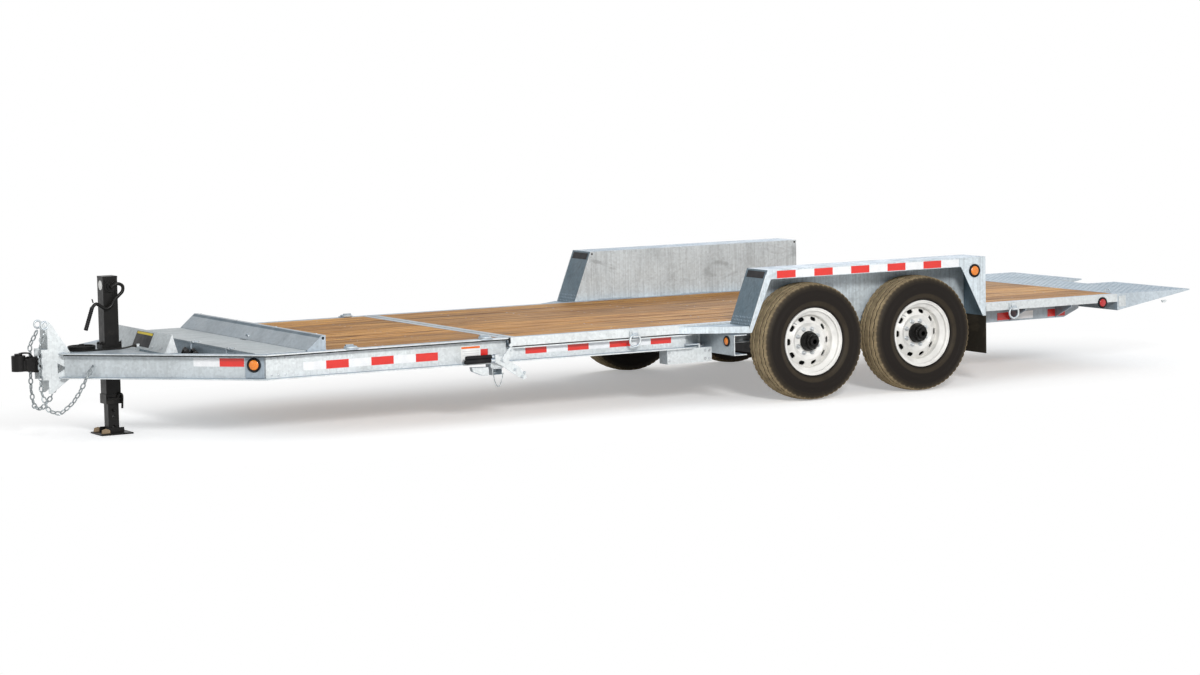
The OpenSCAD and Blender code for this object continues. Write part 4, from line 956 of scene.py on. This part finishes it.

# Rails: painted shade line, splice bolts, blank label, tie rings and the bed latch


def rails():
    """Painted shade line under the flange and down the split, flange ends, splice rivets, blank label, ring
    straps and the bed's ring hangers.
    """
    # Painted shade: a thin black strip under the flange's outer edge and a black strip down the split stand for
    # the shadowed gaps there.
    gap_shade = Shape()
    # Places along the flange's edge and the way in from there
    edge = ((6, 1037.6, 0, -5), (1650, 1037.6, -2.348, -4.414), (2600, 114.6, -3.625, -3.444))
    gap_shade.loft([[(x, y, 514.8), (x, y, 521.9), (x + dx, y + dy, 521.9), (x + dx, y + dy, 514.8)]
               for x, y, dx, dy in edge])
    gap_shade.box((-2, 1036, 484), (6, 1040.5, 529.5), bevel=1)
    gap_shade.mirror().make("flange_painted_shade_line", "rubber")
    rounds = Shape()
    for z0, z1 in ((RAIL_BOT - 0.4, RAIL_BOT + 8.4), (DECK_TOP - 8.4, DECK_TOP + 0.2)):
        z = (z0 + z1) / 2
        rounds.rod((2577, 68, z), (2612, 72.5, z), 5.2, 16, 2)
    rounds.mirror().make("flange_ends", "zinc")
    bolts = Shape()
    for x in (1515, 1560, 1605):
        for z in (402, 502):
            bolts.lathe((x, 994, z), LEFT, [(0, 7), (3, 6.4), (4.6, 4), (5, 0.4)], 16, caps=False)
    bolts.mirror().make("splice_rivets", "bolt")
    label, band, lines = Shape(), Shape(), Shape()
    y = WEB_Y + 0.9
    label.box((180, WEB_Y + 0.1, 393), (318, y, 488))
    band.box((184, WEB_Y + 0.2, 474), (314, y + 0.3, 486))
    for k in range(5):
        z = 404 + 13 * k
        lines.box((190, WEB_Y + 0.2, z), (308 - 14 * (k % 2), y + 0.2, z + 2))
    label.make("latch_blank_label", "label")
    band.make("latch_label_band", "orange")
    lines.make("latch_label_ruling", "ruling")
    straps = Shape()
    bar = [(-44, 1016, 534), (-40, 1040, 531), (0, 1052.5, 529), (40, 1040, 531), (44, 1016, 534)]
    for x in (1085, 160):
        profile = [(986, 531), (986, 549), (991, 555), (1001, 555), (1006, 549), (1006, 531), (1000, 531),
                   (1000, 546), (992, 546), (992, 531)]
        straps.prism(profile, x - 26, x + 26, "yz", bevel=1)
        straps.tube(smooth_path([(x + dx, y, z) for dx, y, z in bar], 5), 4.5, 8)
    straps.mirror().make("ring_straps", "zinc_painted_shade")
    hangers = Shape()
    for x in (-900, -3890):
        profile = [(1046.2, 520), (1046.2, 482), (1054, 470), (1064, 476), (1064, 486), (1058, 492),
                   (1052, 504), (1050, 520)]
        hangers.prism(profile, x - 20, x + 20, "yz", bevel=1)
    hangers.mirror().make("ring_hangers", "zinc", "tilt_bed")


rails()


def latch():
    """Arm, plates and bolts of the bed's latch, its tube end, grips and the pin's fine chain."""
    plate = Shape()
    y = 1047.3
    plate.prism([(72, 388), (48, 424), (2, 474), (-26, 448), (16, 390), (40, 372)], y, y + 6, bevel=1.2)
    plate.prism([(-2, 468), (14, 484), (-4, 500), (-22, 482)], y - 2, y + 8, bevel=1)
    for x, z in ((100, 404), (-30, 328), (-80, 282), (-96, 304), (60, 392), (-4, 452)):
        plate.nut((x, y + 1, z), LEFT, 15, 9, stud=8)
    plate.prism([(268, 358), (150, 354), (148, 300), (190, 302), (260, 332)], 1000, 1038, bevel=2)
    tube = [(54, 300), (124, 300), (124, 344), (54, 344)]
    inner = [(58, 304), (120, 304), (120, 340), (58, 340)]

    def ring_at(outline, depth):
        return [(x, depth, z) for x, z in outline]
    plate.loft([ring_at(tube, 930), ring_at(tube, 1036), ring_at(inner, 1036), ring_at(inner, 960)])
    plate.box((40, 960, 344), (132, 1030, 373.6), bevel=2)
    plate.mirror().make("latch_plates", "zinc")
    grips = Shape()
    for y0, z, x0, x1 in ((1057, 420, 140, 322), (1067, 398, 150, 334)):
        profile = [(0, 11.2), (4, 14.5), (x1 - x0 - 14, 15.5), (x1 - x0 - 3, 13), (x1 - x0, 8)]
        grips.lathe((x0, y0, z), AHEAD, profile, 24)
    grips.mirror().make("latch_grips", "grip")
    small = Shape()
    way = [(119, 1040, 318), (112, 1042, 262), (89, 1043, 226), (66, 1042, 258), (51, 1040, 312)]
    links(small, smooth_path(way, 4), 11, 1.7, 8)
    small.mirror().make("latch_pin_chain", "chain")


latch()

# Fenders, tail and underside


def fender_trim():
    """Blank plates, painted-shade drain holes and weld beads of the fenders, and the tail's hook, plate and
    tab.
    """
    plates, holes, welds = Shape(), Shape(), Shape()

    def on_slope(y, down, lift):
        p = Vector((FENDER_FRONT_X, y, FENDER_TOP)) - SLOPE_UP * down + SLOPE_OUT * lift
        return tuple(p)
    lo, hi = FENDER_IN + 22, FENDER_HALF - 24
    places = ((lo, 12), (hi, 12), (hi, 58), (lo, 58))
    plates.loft([[on_slope(y, down, lift) for y, down in places] for lift in (0.2, 1.2)])
    plates.mirror().make("fender_blank_plates", "label_dark", "tilt_bed")
    # Painted shade: flat black discs stand for the dark insides of the drain holes.
    for x, z in ((FENDER_REAR_X + 16, FENDER_TOP - 14), (FENDER_FRONT_X - 14, FENDER_TOP - 16)):
        holes.lathe((x, FENDER_IN - 0.2, z), (0, -1, 0), [(0, 7), (0.3, 7)], 20)
    holes.mirror().make("drain_holes", "dark", "tilt_bed")
    for x0, x1 in ((FENDER_FRONT_X - 60, FENDER_FRONT_X - 330), (-2500, -2780),
                   (FENDER_REAR_X + 360, FENDER_REAR_X + 60)):
        welds.tube([(x0 + (x1 - x0) * k / 12, FENDER_IN - 1 + 0.8 * (k % 2), DECK_TOP + 4) for k in range(13)],
                   3, 6)
    welds.tube([on_slope(FENDER_HALF - 2, SLOPE_LEN * k / 14, 0.5) for k in range(1, 15)], 2.4, 6)
    for y in (FENDER_IN + 40, FENDER_HALF - 50):
        welds.nut((FENDER_REAR_X - 8.5, y, BED_BOT + 34), (-1, 0, 0), 15, 9, stud=8)
    welds.nut((FENDER_REAR_X + 14, FENDER_HALF, BED_BOT + 8), LEFT, 9, 4)
    welds.mirror().make("fender_welds", "zinc", "tilt_bed")
    tail = Shape()
    way = [(-4852, 873, 531), (-4848, 873, 546), (-4830, 873, 553), (-4812, 873, 546), (-4808, 873, 531)]
    hook = smooth_path(way, 5)
    tail.tube(hook, 5, 10)
    tail.box((-4862, 1039, 440), (-4800, 1041, 516), bevel=0.8)
    tail.prism([(-5228, 462), (-5184, 462), (-5192, 446), (-5220, 446)], 1026, 1038, bevel=1.5)
    tail.mirror().make("tail_trim", "zinc", "tilt_bed")


fender_trim()


def underside():
    """Bolts of the side box, outriggers and axle brackets, brake lines and brake drums, whose near-black is
    partly painted shade behind the rims' holes.
    """
    bolts = Shape()
    for x in (-1480, -1450, -1180):
        for z in (300, 352):
            bolts.nut((x, 1005, z), LEFT, 13, 8)
    for x in (-1530, -1570):
        bolts.nut((x, 1150, 461), (0, 0, -1), 15, 9)
    for x in (-1979, -2837):
        for dx in (-56, 56):
            bolts.nut((x + dx, 912, 366), LEFT, 16, 10)
    bolts.mirror().make("underside_bolts", "bolt")
    pipes = Shape()
    for side in (-1, 1):
        way = smooth_path([(1180, side * 300, 424), (400, side * 306, 426), (60, side * 300, 402),
                (-600, side * 300, 346), (-1700, side * 310, 352), (-1979, side * 330, 346)], 6)
        pipes.tube(way, 6, 8)
    pipes.make("brake_lines", "rubber")
    profile = [(-6, 60), (-4, 96), (8, 110), (22, 168), (30, 172), (36, 168), (64, 168), (66, 172), (70, 172),
               (72, 166), (72, 50)]
    # Painted shade in part: the drums are near-black so that the rims' holes look dark.
    for wheel, x, side in WHEELS:
        drum = Shape()
        drum.lathe((x, side * WHEEL_Y, WHEEL_Z), (0, -side, 0), profile, 48, caps=False)
        drum.make("brake_drum_" + wheel, "dark", "wheel_" + wheel)


underside()

# Finishes of the CAD nodes that stay
for mat, nodes in {
    "zinc": "main_rail_left main_rail_right tongue_rail_left tongue_rail_right tongue_nose bed_latch"
            " front_tie_rings side_box bed_rail_left bed_rail_right bed_tie_rings",
    "zinc_painted_shade": "main_crossmembers toolbox stop_rail bed_joists bed_beam_left bed_beam_right",
    "zinc_sheet": "fender_left fender_right", "zinc_lid": "toolbox_lid", "zinc_guard": "hose_guard",
    "zinc_tread": "tail_deck", "black": "jack_tube jack_leg axle_front axle_rear cushion_barrel",
    "cast": "coupler", "chrome": "cushion_rod", "flap": "mud_flap_left mud_flap_right",
}.items():
    dress(mat, *nodes.split())

# Stage, lights and camera


def seen_directly(m):
    """One for camera, glossy and transmission rays."""
    path = m.add("LightPath").outputs
    seen = m.math("MAXIMUM", path["Is Camera Ray"], path["Is Glossy Ray"])
    return m.math("MAXIMUM", seen, path["Is Transmission Ray"])


def floor_material():
    """Pale floor that holds the shadow close to the object and turns white away from it."""
    m = Nodes("pale_floor", Roughness=0.95, Base_Color=(0.92, 0.92, 0.92, 1), Specular_IOR_Level=0.1)
    seen = seen_directly(m)
    glow = m.add("Emission", Strength=m.math("MULTIPLY", seen, 0.34))
    near = m.add("AddShader", i0=m.shader.outputs[0], i1=glow.outputs[0])
    spot = m.add("VectorMath", {"operation": "LENGTH"}, i0=m.place((0.16, 0.42, 1))).outputs["Value"]
    far = m.math("MULTIPLY", m.ramp(spot, (0.55, 0.0), (1.0, 1.0)), seen)
    mixed = m.add("MixShader", i0=far, i1=near.outputs[0], i2=m.add("Emission", Strength=1.0).outputs[0])
    m.join(m.tree.nodes["Material Output"].inputs["Surface"], mixed.outputs[0])
    return m.mat


def stage():
    """Floor and a world that is white in view and weaker as a light."""
    size = 60
    mesh = bpy.data.meshes.new("floor")
    mesh.from_pydata([(x * size, y * size, -0.001) for x, y in CORNERS], [], [(0, 1, 2, 3)])
    mesh.materials.append(floor_material())
    in_scene("floor", mesh)
    world = bpy.data.worlds.new("studio")
    bpy.context.scene.world = world
    world.use_nodes = True
    w = Tree(world.node_tree)
    level = w.add("MapRange", Value=seen_directly(w), **{"To Min": 0.5})
    back = w.tree.nodes["Background"]
    back.inputs["Color"].default_value = (1, 1, 1, 1)
    w.join(back.inputs["Strength"], level.outputs[0])


def area(name, place, target, size, power):
    light = bpy.data.lights.new(name, "AREA")
    light.shape = "DISK"
    light.size = size
    light.energy = power
    obj = in_scene(name, light)
    obj.location = place
    obj.rotation_euler = (Vector(target) - Vector(place)).to_track_quat("-Z", "Y").to_euler()


def camera():
    data = bpy.data.cameras.new("photo_view")
    data.lens = 100.488
    data.sensor_width = 36
    data.clip_end = 200
    obj = in_scene("photo_view", data)
    obj.location = (11.0348, 19.4881, 2.5054)
    obj.rotation_euler = [radians(a) for a in (84.5626, 1.1132, 150.4473)]
    bpy.context.scene.camera = obj


stage()
area("key", (3.6, 12.6, 5.5), (0, 0, 0.4), 2.2, 1120)
area("fill", (13, 4, 6), (0.5, 0, 0.4), 5, 150)
area("back", (-8, -9, 7), (-1, 0, 0.4), 6, 350)
camera()
bpy.context.scene.view_settings.view_transform = "Standard"
